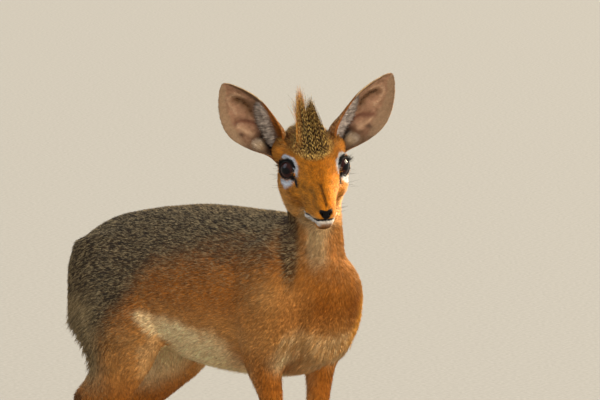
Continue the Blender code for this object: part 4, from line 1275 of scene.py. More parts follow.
def grow_coat(points, triangles, normals, coat, mouth, material):
    """Covers the skin with short tufts that gather into locks, denser and finer on the head, neck and lower
    legs, and leaves bare skin bare."""
    draw = np.random.default_rng(SEED)
    head, neck, low = shares(points)
    hidden = ease(0.0017, 0.0010, mouth)
    local = to_head(points)
    for side in (1, -1):
        seen, reach, opening = eye_polar(local, side)
        hidden = np.maximum(hidden, (opening < 1.10) * (reach < 0.016) * (seen[:, 2] > 0))
    open_skin = np.clip(1 - coat["bare"] - hidden, 0, 1) * ease(0.0165, 0.0185, points[:, 2])
    leg = ease(0.24, 0.20, points[:, 2]) * (lateral(points) > 0.012)
    fine = 0.5 + 1.3 * ease(0.0075, 0.003, coat["length"])
    parts = {
        "trunk": (TRUNK_TUFTS, (1 - head) * (1 - neck) * (1 - leg), 0.00072, 0.0018, "grizzled_coat"),
        "neck": (NECK_TUFTS, neck, 0.00060, 0.0022, "tan_coat"),
        "head": (HEAD_TUFTS, head * fine, 0.00044, 0.0016, "tan_coat"),
        "legs": (LEG_TUFTS, leg * (1 + low), 0.00052, 0.0020, "tan_coat"),
    }
    for name, (count, weight, width, lock, slot) in parts.items():
        corners, share = scatter(points, triangles, weight * open_skin, count, draw)
        root = at(points, corners, share)
        out = unit(at(normals, corners, share))
        here = coat_of(root + draw.normal(0, 0.0004, root.shape))
        way = lie_of(root, out)
        centre, key = locks(root, lock, 60)
        length = here["length"] * draw.uniform(0.72, 1.18, count) * (0.85 + 0.3 * hashed(key, 71))
        side = np.cross(out, way)
        gather = centre - root
        gather = gather - (gather * out).sum(1, keepdims=True) * out
        lean = draw.normal(0, 0.12, count) + 0.22 * (hashed(key, 72) - 0.5)
        way = unit(way + side * lean[:, None] + 0.45 * gather / length[:, None])
        lift = here["lift"] * draw.uniform(0.5, 1.4, count) * (0.6 + 0.8 * hashed(key, 73))
        tint, band, tick = hair_tint(here, root, locks(root, 0.72 * lock, 61)[1], draw)
        values = {"coat": tint, "tick": tick, "band": band}
        place = unwrap(root)
        pieces = math.ceil(count / PIECE_TUFTS)
        order = np.argsort(root[:, 1], kind="stable")
        for k, some in enumerate(np.array_split(order, pieces)):
            label = f"coat_{name}_{k + 1}" if pieces > 1 else f"coat_{name}"
            chosen = {key_of: value[some] for key_of, value in values.items()}
            widths = np.full(len(some), width)
            tuft_piece(
                label, material, root[some], way[some], out[some], length[some],
                widths, lift[some], chosen, place[some],
            )


def hair_tint(here, root, key, draw):
    """Each tuft's colour, the strength of its pale band and the band's colour. Banded hair is dark or
    barred, tuft by tuft, and plain hair varies in brightness."""
    count = len(root)
    grizzle = here["grizzle"]
    head, neck, _ = shares(root)
    mood = 0.62 * hashed(key, 74) + 0.38 * draw.uniform(size=count)
    dark = ease(0.58, 0.36, mood) * grizzle
    tint = blend(here["coat"], CHARCOAL * 0.8, 0.90 * dark)
    light = draw.uniform(0.66, 1.34, count) * (0.80 + 0.40 * hashed(key, 75))
    light = light * (1 + 0.08 * drift(root, 0.02, 32))
    light = light * (1 + 0.12 * drift(root * [1, 0.4, 1], 0.005, 33))
    light = light * (1 + 0.26 * neck * drift(root * [1, 1, 0.15], 0.0045, 34))
    band = grizzle * ease(0.44, 0.70, mood) * draw.uniform(0.6, 1.0, count)
    tick = blend(PALE_BAND, YELLOW_BAND, head)
    return np.clip(tint * light[:, None], 0, 1), band, tick * draw.uniform(0.8, 1.1, count)[:, None]


# Materials


def shader(name, roughness, specular=0.5):
    """A new material with its main shader and its node tree."""
    made = bpy.data.materials.new(name)
    made.use_nodes = True
    main = made.node_tree.nodes["Principled BSDF"]
    main.inputs["Roughness"].default_value = roughness
    main.inputs["Specular IOR Level"].default_value = specular
    return made, made.node_tree, main


def add(tree, kind, **settings):
    """A new node with its settings."""
    node = tree.nodes.new(kind)
    for key, value in settings.items():
        setattr(node, key, value)
    return node


def value_of(tree, name):
    """Reads a piece's named attribute."""
    return add(tree, "ShaderNodeAttribute", attribute_name=name)


def object_noise(tree, scale, detail=3.0, stretch=(1, 1, 1)):
    """Noise on the object's own coordinates."""
    where = add(tree, "ShaderNodeTexCoord")
    turn = add(tree, "ShaderNodeMapping")
    turn.inputs["Scale"].default_value = stretch
    noise = add(tree, "ShaderNodeTexNoise")
    noise.inputs["Scale"].default_value = scale
    noise.inputs["Detail"].default_value = detail
    tree.links.new(where.outputs["Object"], turn.inputs["Vector"])
    tree.links.new(turn.outputs["Vector"], noise.inputs["Vector"])
    return noise


def mixed(tree, a, b, share, mode="MIX"):
    """Mixes two colours or sockets by a share."""
    node = add(tree, "ShaderNodeMix", data_type="RGBA", blend_type=mode)
    for socket, value in ((node.inputs[6], a), (node.inputs[7], b), (node.inputs[0], share)):
        if isinstance(value, bpy.types.NodeSocket):
            tree.links.new(value, socket)
        elif isinstance(value, (int, float)):
            socket.default_value = value
        else:
            socket.default_value = (*value, 1)
    return node.outputs[2]


def bump(tree, main, height, distance, strength=1.0):
    """Tilts the shading by a height."""
    node = add(tree, "ShaderNodeBump")
    node.inputs["Distance"].default_value = distance
    node.inputs["Strength"].default_value = strength
    tree.links.new(height, node.inputs["Height"])
    tree.links.new(node.outputs["Normal"], main.inputs["Normal"])


def coat_material():
    """Hair: its tuft's own colour, darker at the root as painted shade deep in the coat, with a pale bar
    below a dark tip where the hair is banded. On a long hair the bars come again at every whole number of
    its length's count."""
    made, tree, main = shader("banded_hair", 0.60, 0.16)
    tint = value_of(tree, "coat").outputs["Color"]
    tick = value_of(tree, "tick").outputs["Color"]
    along = value_of(tree, "along").outputs["Fac"]
    band = value_of(tree, "band").outputs["Fac"]
    turn = add(tree, "ShaderNodeMath", operation="FRACT")
    tree.links.new(along, turn.inputs[0])
    ramp = add(tree, "ShaderNodeValToRGB")
    points = ramp.color_ramp.elements
    points[0].position, points[0].color = 0.42, (0, 0, 0, 1)
    points[1].position, points[1].color = 0.54, (1, 1, 1, 1)
    for position, level in ((0.80, 1), (0.93, 0)):
        points.new(position).color = (level, level, level, 1)
    tree.links.new(turn.outputs[0], ramp.inputs["Fac"])
    bar = add(tree, "ShaderNodeMath", operation="MULTIPLY")
    tree.links.new(ramp.outputs["Color"], bar.inputs[0])
    tree.links.new(band, bar.inputs[1])
    # Painted shade: each hair darkens to half towards its root
    root = add(tree, "ShaderNodeMapRange")
    root.inputs["From Max"].default_value = 0.5
    root.inputs["To Min"].default_value = 0.5
    tree.links.new(along, root.inputs["Value"])
    shade = add(tree, "ShaderNodeCombineColor")
    for k in range(3):
        tree.links.new(root.outputs["Result"], shade.inputs[k])
    rooted = mixed(tree, tint, shade.outputs["Color"], 1.0, "MULTIPLY")
    tree.links.new(mixed(tree, rooted, tick, bar.outputs[0]), main.inputs["Base Color"])
    return made


def skin_material():
    """The hide under the coat, and the pebbled black skin of the nose, lids and glands where it is bare."""
    made, tree, main = shader("hide", 0.7, 0.10)
    tint = value_of(tree, "coat").outputs["Color"]
    bare = value_of(tree, "bare").outputs["Fac"]
    noise = object_noise(tree, 900, 2.0)
    mottle = mixed(tree, tint, (0.35, 0.3, 0.25), 0.45, "MULTIPLY")
    colour = mixed(tree, mottle, tint, bare)
    tree.links.new(colour, main.inputs["Base Color"])
    gloss = add(tree, "ShaderNodeMapRange")
    gloss.inputs["To Min"].default_value = 0.8
    gloss.inputs["To Max"].default_value = 0.38
    tree.links.new(bare, gloss.inputs["Value"])
    tree.links.new(gloss.outputs["Result"], main.inputs["Roughness"])
    cells = add(tree, "ShaderNodeTexVoronoi")
    cells.inputs["Scale"].default_value = 1100
    where = add(tree, "ShaderNodeTexCoord")
    tree.links.new(where.outputs["Object"], cells.inputs["Vector"])
    height = add(tree, "ShaderNodeMath", operation="ADD")
    tree.links.new(cells.outputs["Distance"], height.inputs[0])
    tree.links.new(noise.outputs["Fac"], height.inputs[1])
    bump(tree, main, height.outputs[0], 0.0004, 0.7)
    return made


def eye_material():
    """A dark wet eye: a near-black pupil as a level bar, a deep red-brown iris with fine rays, and a black
    edge."""
    made, tree, main = shader("eye", 0.05, 0.15)
    rays = object_noise(tree, 700, 2.0)
    iris = mixed(tree, (0.007, 0.002, 0.002), (0.032, 0.008, 0.006), rays.outputs["Fac"])
    pupil = value_of(tree, "pupil").outputs["Fac"]
    rim = value_of(tree, "white").outputs["Fac"]
    dark = mixed(tree, iris, (0.002, 0.0015, 0.002), pupil)
    tree.links.new(mixed(tree, dark, (0.004, 0.003, 0.003), rim), main.inputs["Base Color"])
    return made


def ear_material():
    """The ear's thin skin: its own colours with fine veins and down, and a little light through it."""
    made, tree, main = shader("ear_skin_fine", 0.7, 0.3)
    main.inputs["Subsurface Weight"].default_value = 0.15
    main.inputs["Subsurface Radius"].default_value = (0.004, 0.0015, 0.001)
    tint = value_of(tree, "coat").outputs["Color"]
    noise = object_noise(tree, 420, 4.0)
    down = mixed(tree, tint, (0.55, 0.45, 0.4), noise.outputs["Fac"], "MULTIPLY")
    tree.links.new(down, main.inputs["Base Color"])
    bump(tree, main, noise.outputs["Fac"], 0.0005, 0.6)
    return made


def horn_material():
    """Claw horn: near black with growth lines across it and a worn, paler edge at the sole."""
    made, tree, main = shader("claw_horn", 0.42, 0.5)
    noise = object_noise(tree, 160, 5.0, (0.4, 0.4, 6.0))
    low = value_of(tree, "worn").outputs["Fac"]
    base = mixed(tree, (0.012, 0.009, 0.008), (0.055, 0.040, 0.030), noise.outputs["Fac"])
    tree.links.new(mixed(tree, base, (0.12, 0.095, 0.07), low), main.inputs["Base Color"])
    bump(tree, main, noise.outputs["Fac"], 0.0004, 0.6)
    return made


def plain_material(name, colour, roughness, noise_scale=300.0):
    """One tone with a fine mottle."""
    made, tree, main = shader(name, roughness, 0.12)
    noise = object_noise(tree, noise_scale)
    darker = tuple(0.6 * c for c in colour)
    tree.links.new(mixed(tree, darker, colour, noise.outputs["Fac"]), main.inputs["Base Color"])
    return made


# The head's own pieces


def eye_pieces(eye, lid, hair):
    """Each eyeball as a ball with a slight bulge in front, the wet rim of its lids, and its lashes."""
    draw = np.random.default_rng(SEED + 1)
    for side, word in SIDES:
        t = np.linspace(0.01, math.pi - 0.01, 40)[:, None]
        p = turns(48)[None]
        ball = np.stack([np.sin(t) * np.cos(p), np.sin(t) * np.sin(p), np.cos(t) + 0 * p], -1)
        reach = EYE_RADIUS * (1 + 0.045 * bell((t, 0, 0.7)))[..., None]
        rings = eye_centre(side) + (ball * reach) @ eye_axes(side)
        points, triangles = ring_surface(from_head(rings.reshape(-1, 3)).reshape(rings.shape))
        flat = np.concatenate([ball.reshape(-1, 3), [[0, 0, 1], [0, 0, -1]]])
        pupil = ease(1.15, 0.85, np.hypot(flat[:, 0] / 0.46, flat[:, 1] / 0.30)) * (flat[:, 2] > 0)
        white = ease(0.72, 0.80, np.hypot(flat[:, 0], flat[:, 1])) + (flat[:, 2] < 0)
        values = {"pupil": pupil, "white": np.clip(white, 0, 1)}
        mesh = mesh_from(f"eyeball_{word}", points, triangles, values)
        piece(f"eyeball_{word}", mesh, eye, (f"eye_{word}",))
        points, triangles = tube(from_head(lid_loop(side, EYE_RADIUS + 0.0004)), 0.0008)
        piece(f"lid_rim_{word}", mesh_from(f"lid_rim_{word}", points, triangles), lid)
        lashes(side, word, hair, draw)


def lashes(side, word, hair, draw):
    """Fine lashes along the upper lid that gather and sweep out beyond the outer corner, and a few
    below."""
    loop = lid_loop(side, EYE_RADIUS + 0.0008, 360)
    axes = eye_axes(side)
    outer = draw.normal(146, 14, 46).clip(100, 190)
    spots = np.concatenate([draw.uniform(40, 165, 44), outer, draw.uniform(195, 310, 16)]).astype(int)
    root = loop[spots]
    a = np.radians(spots)[:, None]
    away = np.cos(a) * axes[0] + np.sin(a) * axes[1]
    start = unit(0.8 * axes[2] + 0.8 * away - 0.3 * axes[0])
    end = unit(0.5 * axes[2] + 1.2 * away - 0.9 * axes[0])
    start = unit(start + draw.normal(0, 0.12, start.shape))
    ranges = ((0.0026, 0.0045, 44), (0.004, 0.0078, 46), (0.0015, 0.003, 16))
    length = np.concatenate([draw.uniform(*given) for given in ranges])
    dark_hairs(f"lashes_{word}", hair, root, start, end, length, 0.00026, BLACK, [0.03, 0.976])


def ear_axes(side):
    """The ear's own axes as rows, in the head's frame: to its outer edge, out of the cup, from root to
    tip."""
    mirror = np.array([side, 1, 1])
    axis = unit(EAR_AXIS * mirror)
    face = EAR_FACING * mirror
    face = unit(face - face @ axis * axis)
    return np.stack([np.cross(axis, face) * side, face, axis])


def ear_line(s, t, line):
    """How far places in the ear lie from one of its lines, in metres across and up it."""
    flat = np.stack([s.ravel() * EAR_SCALE[0], t.ravel() * EAR_SCALE[1], 0 * s.ravel()], 1)
    spots = along_line([(a * EAR_SCALE[0], b * EAR_SCALE[1], 0) for a, b in line])
    return distance_to(flat, spots).reshape(s.shape)


def ear_near(s, t, line, reach):
    """1 on a line in the ear and falling away from it as a bell."""
    return bell((ear_line(s, t, line), 0, reach))


def ear_spot(s, t, across, up, wide, high):
    """1 at a place in the ear and falling away from it as a bell."""
    return bell((s, across, wide), (t, up, high))


def ear_grid(rings, columns):
    """The ear as closed rings: over its inner face from edge to edge and back over its outer face. A place
    on the inner face is (bulge + r sin(s a), -r (cos(s a) - cos a), height), raised along the ear's inner
    ridges; the outer face is a wall thicker. Gives the rings, and s, t and which face for each place."""
    rows = smooth_rows([(0, 0, height, *rest) for height, *rest in EAR_ARCS], rings)
    height, bulge, half, spread = (rows[:, k : k + 1] for k in (2, 3, 4, 5))
    spread = np.radians(spread)
    radius = half / np.sin(np.minimum(spread, math.pi / 2))
    s = np.linspace(-1, 1, columns)[None] + 0 * radius
    t = np.linspace(0, 1, rings)[:, None] + 0 * s
    raised = -0.0008 * ear_spot(s, t, 0.62, 0.42, 0.14, 0.04)
    for rise, line, reach in (
        (0.0007, EAR_ARCH, 0.0022),
        (0.0010, EAR_RIDGE, 0.0022),
        (-0.0010, EAR_HOLLOW, 0.0034),
        (-0.0008, EAR_FOLD, 0.0018),
        (-0.0016, EAR_THROAT, 0.0030),
    ):
        raised = raised + rise * ear_near(s, t, line, reach)
    faces = []
    for outer in (0, 1):
        across_s = s[:, ::-1] if outer else s
        wall = 0.0018 * np.sqrt(np.clip(1 - across_s**6, 0, 1)) * (1 - 0.45 * t) * outer
        reach = radius + wall
        across = bulge + reach * np.sin(across_s * spread)
        depth = -reach * np.cos(across_s * spread) + radius * np.cos(spread) + (0 if outer else raised)
        place = np.stack([across, depth, np.broadcast_to(height, across.shape)], -1)
        part = place[:, 1:-1] if outer else place
        s_here = across_s[:, 1:-1] if outer else across_s
        faces.append((part, s_here, np.full(s_here.shape, float(outer))))
    rings_at, s_at, outside = (np.concatenate(both, 1) for both in zip(*faces))
    return rings_at, s_at, np.broadcast_to(t[:, :1], s_at.shape), outside


def ear_feather(s, t):
    """1 inside the feather of pale hair along the ear's inner edge, and how far a place lies beyond its
    outer side."""
    height, far, near = np.array(EAR_FEATHER).T
    far_side, near_side = np.interp(t, height, far), np.interp(t, height, near)
    inside = ease(far_side - 0.05, far_side + 0.05, s) * ease(near_side + 0.06, near_side - 0.06, s)
    return inside * ease(0.09, 0.13, t) * ease(0.63, 0.58, t), ease(far_side + 0.02, far_side - 0.08, s)


def ear_tint(s, t, outside, places):
    """The ear's colours: orange-brown behind; inside a smooth grey-brown rim, pale ridges round brown
    hollows, pale down low in the cup, painted black shade in the hollow at its root, painted shade in its
    folds, in a dent, beside its ridges and under the pale feather, a painted highlight along the rolled
    inner edge, and an orange-brown inner edge beside the pale feather."""
    s_spot = s + 0.04 * drift(places, 0.012, 42)
    t_spot = t + 0.012 * drift(places, 0.016, 43)

    def near(line, reach):
        return ear_near(s_spot, t_spot, line, reach)

    def spot(across, up, wide, high):
        return ear_spot(s_spot, t_spot, across, up, wide, high)

    rim_edge = read_off(t, EAR_RIM)
    rim = ease(rim_edge - 0.10, rim_edge + 0.06, s_spot) * ease(0.26, 0.40, t_spot)
    brown = 0.30 + 0.35 * drift(places, 0.006, 44) + 0.35 * ease(0.42, 0.28, t)
    broken = 0.75 + 0.25 * drift(places, 0.004, 45)
    ridges = np.clip(0.60 * near(EAR_ARCH, 0.0017) + 0.70 * near(EAR_RIDGE, 0.0018), 0, 1) * broken
    inner = layered(
        blend(EAR_PINK, EAR_BROWN, brown),
        (EAR_BROWN * 0.85, 0.90 * near(EAR_HOLLOW, 0.0046)),
        # Painted shadow under the pale feather
        (EAR_SHADOW_UMBER, 0.80 * near(EAR_SHADE, 0.0030)),
        (EAR_PINK, 0.75 * spot(0.26, 0.66, 0.20, 0.06)),
        (EAR_GREY, rim),
        # Painted shade in the fold
        (EAR_FOLD_SHADE_RED, 0.75 * near(EAR_FOLD, 0.0020)),
        (EAR_PALE, ridges),
        # Painted shade in the dent and below the ridge
        (EAR_DENT_SHADE_DARK * 0.6, 0.85 * spot(0.64, 0.425, 0.11, 0.03)),
        (EAR_FOLD_SHADE_RED, 0.80 * spot(0.48, 0.305, 0.18, 0.035)),
        (CREAM * 0.8, 0.80 * spot(0.56, 0.235, 0.24, 0.055)),
        (EAR_BROWN * 0.75, 0.80 * ease(-0.56, -0.68, s) * ease(0.56, 0.64, t) * ease(1.0, 0.93, t)),
        # Painted highlight along the rolled inner edge
        (CREAM, 0.70 * ease(-0.93, -0.98, s) * ease(0.60, 0.66, t)),
    )
    inner = inner * (1 - 0.28 * ease(0.42, 0.30, t))[:, None]
    feather, beyond = ear_feather(s, t)
    margin = blend(RUST, CHESTNUT * 0.35, np.clip(0.45 + 0.5 * drift(places, 0.005, 46), 0, 1))
    inner = layered(
        inner,
        (margin, 0.95 * beyond * ease(0.62, 0.58, t)),
        (EAR_MAUVE, 0.80 * feather),
        # Painted black shade in the hollow at the root
        (EAR_HOLLOW_SHADE_BLACK, np.clip(1.15 * near(EAR_THROAT, 0.0034), 0, 1)),
        (EAR_HOLLOW_SHADE_BLACK, ease(0.08, 0.04, t)),
    )
    greyed = 0.40 + 0.25 * ease(0.6, 0.0, np.abs(s)) + 0.2 * ease(0.6, 0.9, t)
    outer = blend(blend(TAWNY, CHESTNUT, 0.4), GREY, greyed)
    tint = blend(inner, outer, outside)
    return np.clip(tint * (1 + 0.10 * drift(places, 0.005, 41))[:, None], 0, 1)


def ear_pieces(skin, hair):
    """Both ears with the hair on their backs, the down inside them and the long pale hair along the inner
    edge."""
    draw = np.random.default_rng(SEED + 2)
    rings, s, t, outside = ear_grid(64, 36)
    end_points = np.array([0.0, 0.0])
    s, t, outside = (np.concatenate([value.ravel(), end_points]) for value in (s, t, outside))
    t[-1] = 1
    for side, word in SIDES:
        root = EAR_ROOT * [side, 1, 1]
        local = root + rings.reshape(-1, 3) @ ear_axes(side)
        points, triangles = ring_surface(from_head(local).reshape(rings.shape))
        tint = ear_tint(s, t, outside, points)
        mesh = mesh_from(f"ear_shell_{word}", points, triangles, {"coat": tint})
        piece(f"ear_shell_{word}", mesh, skin, (f"ear_{word}",))
        normals = point_normals(points, triangles)
        up = ear_axes(side) @ HEAD_AXES.T
        count = EAR_TUFTS
        fringe = ear_feather(s, t)[0] * (1 - outside)
        down = ear_spot(s, t, 0.56, 0.235, 0.22, 0.05) * (1 - outside)
        weight = ease(0.06, 0.12, t) * (0.9 * outside + (1 - outside) * (0.8 + 1.8 * fringe + 1.2 * down))
        corners, share = scatter(points, triangles, weight, count, draw)
        here, out = at(points, corners, share), unit(at(normals, corners, share))
        s_at, t_at, outside_at = (at(value, corners, share) for value in (s, t, outside))
        behind = ease(0.3, 0.7, outside_at)
        fringe_at = at(fringe, corners, share)
        down_at = at(down, corners, share)
        way = up[2] + 0.30 * np.sign(s_at)[:, None] * up[0]
        way = blend(way, up[0] * 0.85 + up[2] * 0.5, np.clip(1.5 * fringe_at, 0, 1))
        swirl = np.stack([drift(here, 0.006, k) for k in (51, 52, 53)], 1)
        way = way + (draw.normal(0, 0.10, (count, 3)) + 0.10 * swirl)
        way = unit(way - (way * out).sum(1, keepdims=True) * out)
        length = 0.0022 + 0.0010 * behind + 0.0052 * fringe_at + 0.0034 * down_at
        length = length * draw.uniform(0.7, 1.25, count) * (1 - 0.5 * ease(0.86, 1.0, t_at))
        tint_at = ear_tint(s_at, t_at, behind, here)
        key = locks(here, 0.0016, 90)[1]
        pale_hair = FEATHER_HAIR * (0.25 + 0.95 * hashed(key, 91))[:, None]
        tint_at = blend(tint_at, pale_hair, 0.90 * np.clip(fringe_at + 0.6 * down_at, 0, 1))
        light = draw.uniform(0.75, 1.25, count) * (0.82 + 0.36 * hashed(key, 92))
        tint_at = np.clip(tint_at * light[:, None], 0, 1)
        lift = (0.11 - 0.05 * behind + 0.10 * fringe_at) * draw.uniform(0.6, 1.4, count)
        dark = behind * (hashed(key, 93) < 0.42)
        tint_at = blend(tint_at, CHARCOAL, 0.6 * dark)
        tick_at = np.tile(PALE_BAND, (count, 1))
        values = {"coat": tint_at, "tick": tick_at, "band": 0.6 * behind * (hashed(key, 93) > 0.62)}
        strip = 0.66 if side > 0 else 0.60
        place = np.stack([0.02 + 0.2 * t_at, strip + 0.05 * (s_at + 1) / 2], 1)
        width = 0.00034 + 0.00014 * fringe_at
        name = f"ear_hair_{word}"
        tuft_piece(name, hair, here, way, out, length, width, lift, values, place)


def crest_reach(x, y):
    """How far a place in the head's frame lies from the crest's middle, as a share of the crest's radii."""
    return np.hypot(x / CREST_RADII[0], (y - CREST_MIDDLE) / CREST_RADII[1])


def crest_piece(points, triangles, normals, hair):
    """The tuft on the crown: banded hair that rises off the crown, short round its edge and long in the
    middle, and leans together into a cone that parts near its top into the crest's two tips."""
    draw = np.random.default_rng(SEED + 3)
    local = to_head(points)
    x, y, z = local.T
    middle = crest_reach(x, y)
    weight = ease(1.08, 0.75, middle) * (1.4 - middle) * (z > 0.004) * (shares(points)[0] > 0.5)
    count = CREST_HAIRS
    corners, share = scatter(points, triangles, weight, count, draw)
    root = at(local, corners, share)
    out = unit(at(normals, corners, share) @ HEAD_AXES)
    key = locks(root, 0.0030, 80)[1]
    rim = np.clip(crest_reach(root[:, 0], root[:, 1]), 0, 1)
    second = root[:, 0] + draw.normal(0, 0.0035, count) > CREST_PARTING
    high = (draw.uniform(size=count) < 0.34) & (rim < 0.72)
    below = draw.uniform(size=count) ** np.where(high, 1.5, 0.8)
    spread = np.where(second, 0.0010 + 0.0036 * below, 0.0014 + 0.0034 * below)[:, None]
    tip = np.where(high[:, None], CREST_TIPS[second.astype(int)], CONE_TOP)
    goal = tip + draw.normal(0, 1, (count, 3)) * spread * [1, 1, 0.3]
    goal = goal - (below * np.where(high, 1, 0.4))[:, None] * np.array([0.0, 0.004, 0.020])
    goal = goal + (hashed(key, 81)[:, None] - 0.5) * [0.004, 0.004, 0.002]
    towards = goal - root
    full = np.linalg.norm(towards, axis=1)
    full = full * np.where(high & ~second, 0.90, 0.97)
    share_of = np.where(high, 1.02, np.clip(1.04 - 0.98 * rim**0.9, 0.16, 1))
    share_of = share_of * (0.84 + 0.24 * hashed(key, 82))
    length = np.clip(full * share_of, 0.006, None) * draw.uniform(np.where(high, 0.88, 0.72), 1.08)
    aim_at = unit(towards)
    start = 0.75 * unit(CONE_HEART - root) + out * (0.10 + 0.45 * rim[:, None])
    start = unit(start + draw.normal(0, 0.04, (count, 3)))
    end = unit(2 * aim_at - start + draw.normal(0, 0.04, (count, 3)))
    tall = ease(0.024, 0.036, length)
    tint = blend(CHARCOAL * 0.9 + TAWNY * 0.12, CHARCOAL * 0.8, draw.uniform(size=count) < 0.5)
    orange = np.where(second, 0.0, ease(0.000, -0.006, root[:, 0])) * ease(0.002, 0.010, root[:, 1])
    tint = blend(tint, TAWNY * 1.1, 0.95 * orange * (draw.uniform(size=count) < np.where(high, 0.80, 0.10)))
    tint = blend(tint, TAWNY * 0.7, 0.55 * ease(0.7, 1.0, rim) * ease(0.008, 0.016, np.abs(root[:, 0])))
    band = ease(0.20, 0.48, 0.4 * hashed(key, 83) + 0.6 * draw.uniform(size=count)) * (1 - 0.35 * tall)
    tint = np.clip(tint * draw.uniform(0.70, 1.30, count)[:, None], 0, 1)
    tick = np.clip(YELLOW_BAND * draw.uniform(0.75, 1.35, (count, 1)), 0, 1)
    values = {"coat": tint, "tick": tick, "band": band}
    place = unwrap(from_head(root))
    bars = np.maximum(1, length / draw.uniform(0.0036, 0.0064, count))
    hair_piece("crest", hair, root - out * 0.001, start, end, length, 0.00066, values, place, bars)


def whiskers(points, triangles, normals, hair):
    """Fine dark hairs that stand off the lips, the chin and the cheek below each eye, and droop a
    little."""
    draw = np.random.default_rng(SEED + 4)
    local = to_head(points)
    out_of = normals @ HEAD_AXES
    places = []
    for side in (1, -1):
        for spot, spread, count in (
            ((0.0110, -0.0520, -0.0075), 0.0030, 9),
            ((0.0060, -0.0560, -0.0190), 0.0026, 6),
            ((0.0325, -0.0020, -0.0085), 0.0026, 7),
            ((0.0300, -0.0120, -0.0110), 0.0022, 4),
        ):
            places.append(np.array(spot) * [side, 1, 1] + draw.normal(0, spread, (count, 3)))
    places = np.concatenate(places)
    nearest = np.array([((local - place) ** 2).sum(1).argmin() for place in places])
    root, out = local[nearest], out_of[nearest]
    back = np.array([0.0, 0.55, -0.25])
    start = unit(out + 0.4 * back + draw.normal(0, 0.10, out.shape))
    end = unit(out + 1.3 * back + draw.normal(0, 0.12, out.shape))
    length = draw.uniform(0.007, 0.016, len(root))
    dark_hairs("whiskers", hair, root, start, end, length, 0.00020, BLACK * 1.5, [0.03, 0.970])


def claw_pieces(horn):
    """The claws: a pointed outline, x = width / 2 sin a (1 - 0.3 front), y = -length / 2 cos a, that draws
    in and back as it rises, with the wall a little hollow."""
    for name, step in STEPS.items():
        side = 1 if name.endswith("left") else -1
        kind = name.split("_")[0]
        foot = (FORE_LEG if kind == "foreleg" else HIND_LEG)[-1]
        for word, of_foot in (("outer", side), ("inner", -side)):
            rise = np.linspace(0, 1, 14)[:, None]
            a = turns(40)[None]
            long_at = np.interp(rise, [0, 0.06, 0.4, 1], [0.95, 1.0, 0.95, 0.68])
            wide_at = np.interp(rise, [0, 0.08, 0.5, 1], [0.92, 1.0, 0.99, 0.86])
            back = 0.0042 * rise**1.3
            across = CLAW_WIDTH / 2 * wide_at * np.sin(a) * (1 - 0.3 * (1 + np.cos(a)) / 2)
            along = back - HOOF_LENGTH / 2 * long_at * np.cos(a)
            x = side * foot[0] + of_foot * (CLAW_WIDTH + CLAW_GAP) / 2 + across
            y = foot[1] + step - 0.002 + along
            z = np.broadcast_to(HOOF_HEIGHT * 1.04 * rise, x.shape)
            points, triangles = ring_surface(np.stack([x, y, z], -1))
            worn = ease(0.0022, 0.0004, points[:, 2])
            label = f"claw_{name}_{word}"
            mesh = mesh_from(label, points, triangles, {"worn": worn})
            piece(label, mesh, horn, (f"hoof_{name}_{word}",))


def fitting(points, normals):
    """How much further the skin draws in, where the coat lies flat on the breast's left side and over the
    tail's root. Below nothing it stands out, where the coat rounds off the rump's top and is fluffy behind
    the thighs."""
    y, z = points[:, 1], points[:, 2]
    left = np.clip(normals @ np.array([0.707, -0.707, 0.0]), 0, 1)
    slim = 0.0045 * left * bell((z, 0.336, 0.026)) * ease(-0.09, -0.12, y)
    up_back = np.clip(normals @ np.array([0.0, 0.75, 0.66]), 0, 1) ** 2 * ease(0.28, 0.31, z)
    rounded = ease(0.105, 0.135, y) * ease(0.182, 0.166, y)
    rump = 0.0022 * up_back * (ease(0.170, 0.184, y) - rounded)
    behind = np.clip(np.abs(normals[:, 0]) * 0.5 + normals[:, 1], 0, 1)
    full = 0.0040 * behind * ease(0.09, 0.12, y) * bell((z, 0.232, 0.020))
    return slim + rump - full


def dress():
    """Builds the skin, the coat and every piece of the head and feet."""
    points, triangles = skin_shape()
    triangles = facing_out(points, triangles)
    normals = point_normals(points, triangles)
    coat = coat_of(points)
    depth = coat["length"] * COAT_DEPTH_SHARE * (1 - coat["bare"]) + fitting(points, normals)
    points = points - normals * depth[:, None]
    points, mouth = shape_face(points, triangles)
    normals = point_normals(points, triangles)
    coat = coat_of(points)
    lip_line = ease(0.0017, 0.0009, mouth)
    coat["coat"] = blend(coat["coat"], BLACK, lip_line)
    coat["bare"] = np.maximum(coat["bare"], lip_line)
    hair = coat_material()
    body = ["torso", "neck", "head", "tail"]
    body += [f"{name}_{part}" for name in STEPS for part in ("upper", "lower")]
    mesh = mesh_from("skin", points, triangles, {"coat": coat["coat"], "bare": coat["bare"]})
    piece("skin", mesh, skin_material(), body)
    grow_coat(points, triangles, normals, coat, mouth, hair)
    crest_piece(points, triangles, normals, hair)
    whiskers(points, triangles, normals, hair)
    eye_pieces(eye_material(), plain_material("lid_edge", (0.008, 0.006, 0.005), 0.45), hair)
    ear_pieces(ear_material(), hair)
    claw_pieces(horn_material())


# The studio

VIEW_TURN = math.radians(-45)
VIEW_RISE = math.radians(6)
VIEW_DISTANCE = 6.0
VIEW_WIDTH = 0.5825
VIEW_CENTRE = (0.0796, 0.3727)
SENSOR_WIDTH = 36
CLEAR_TO = 100

# The height that the lights look at, how far off they stand, and the floor: its radius, rings and sides
MIDDLE_HEIGHT = 0.28
LIGHT_DISTANCE = 4.0
FLOOR_RADIUS = 16
FLOOR_RINGS = 30
FLOOR_SIDES = 64


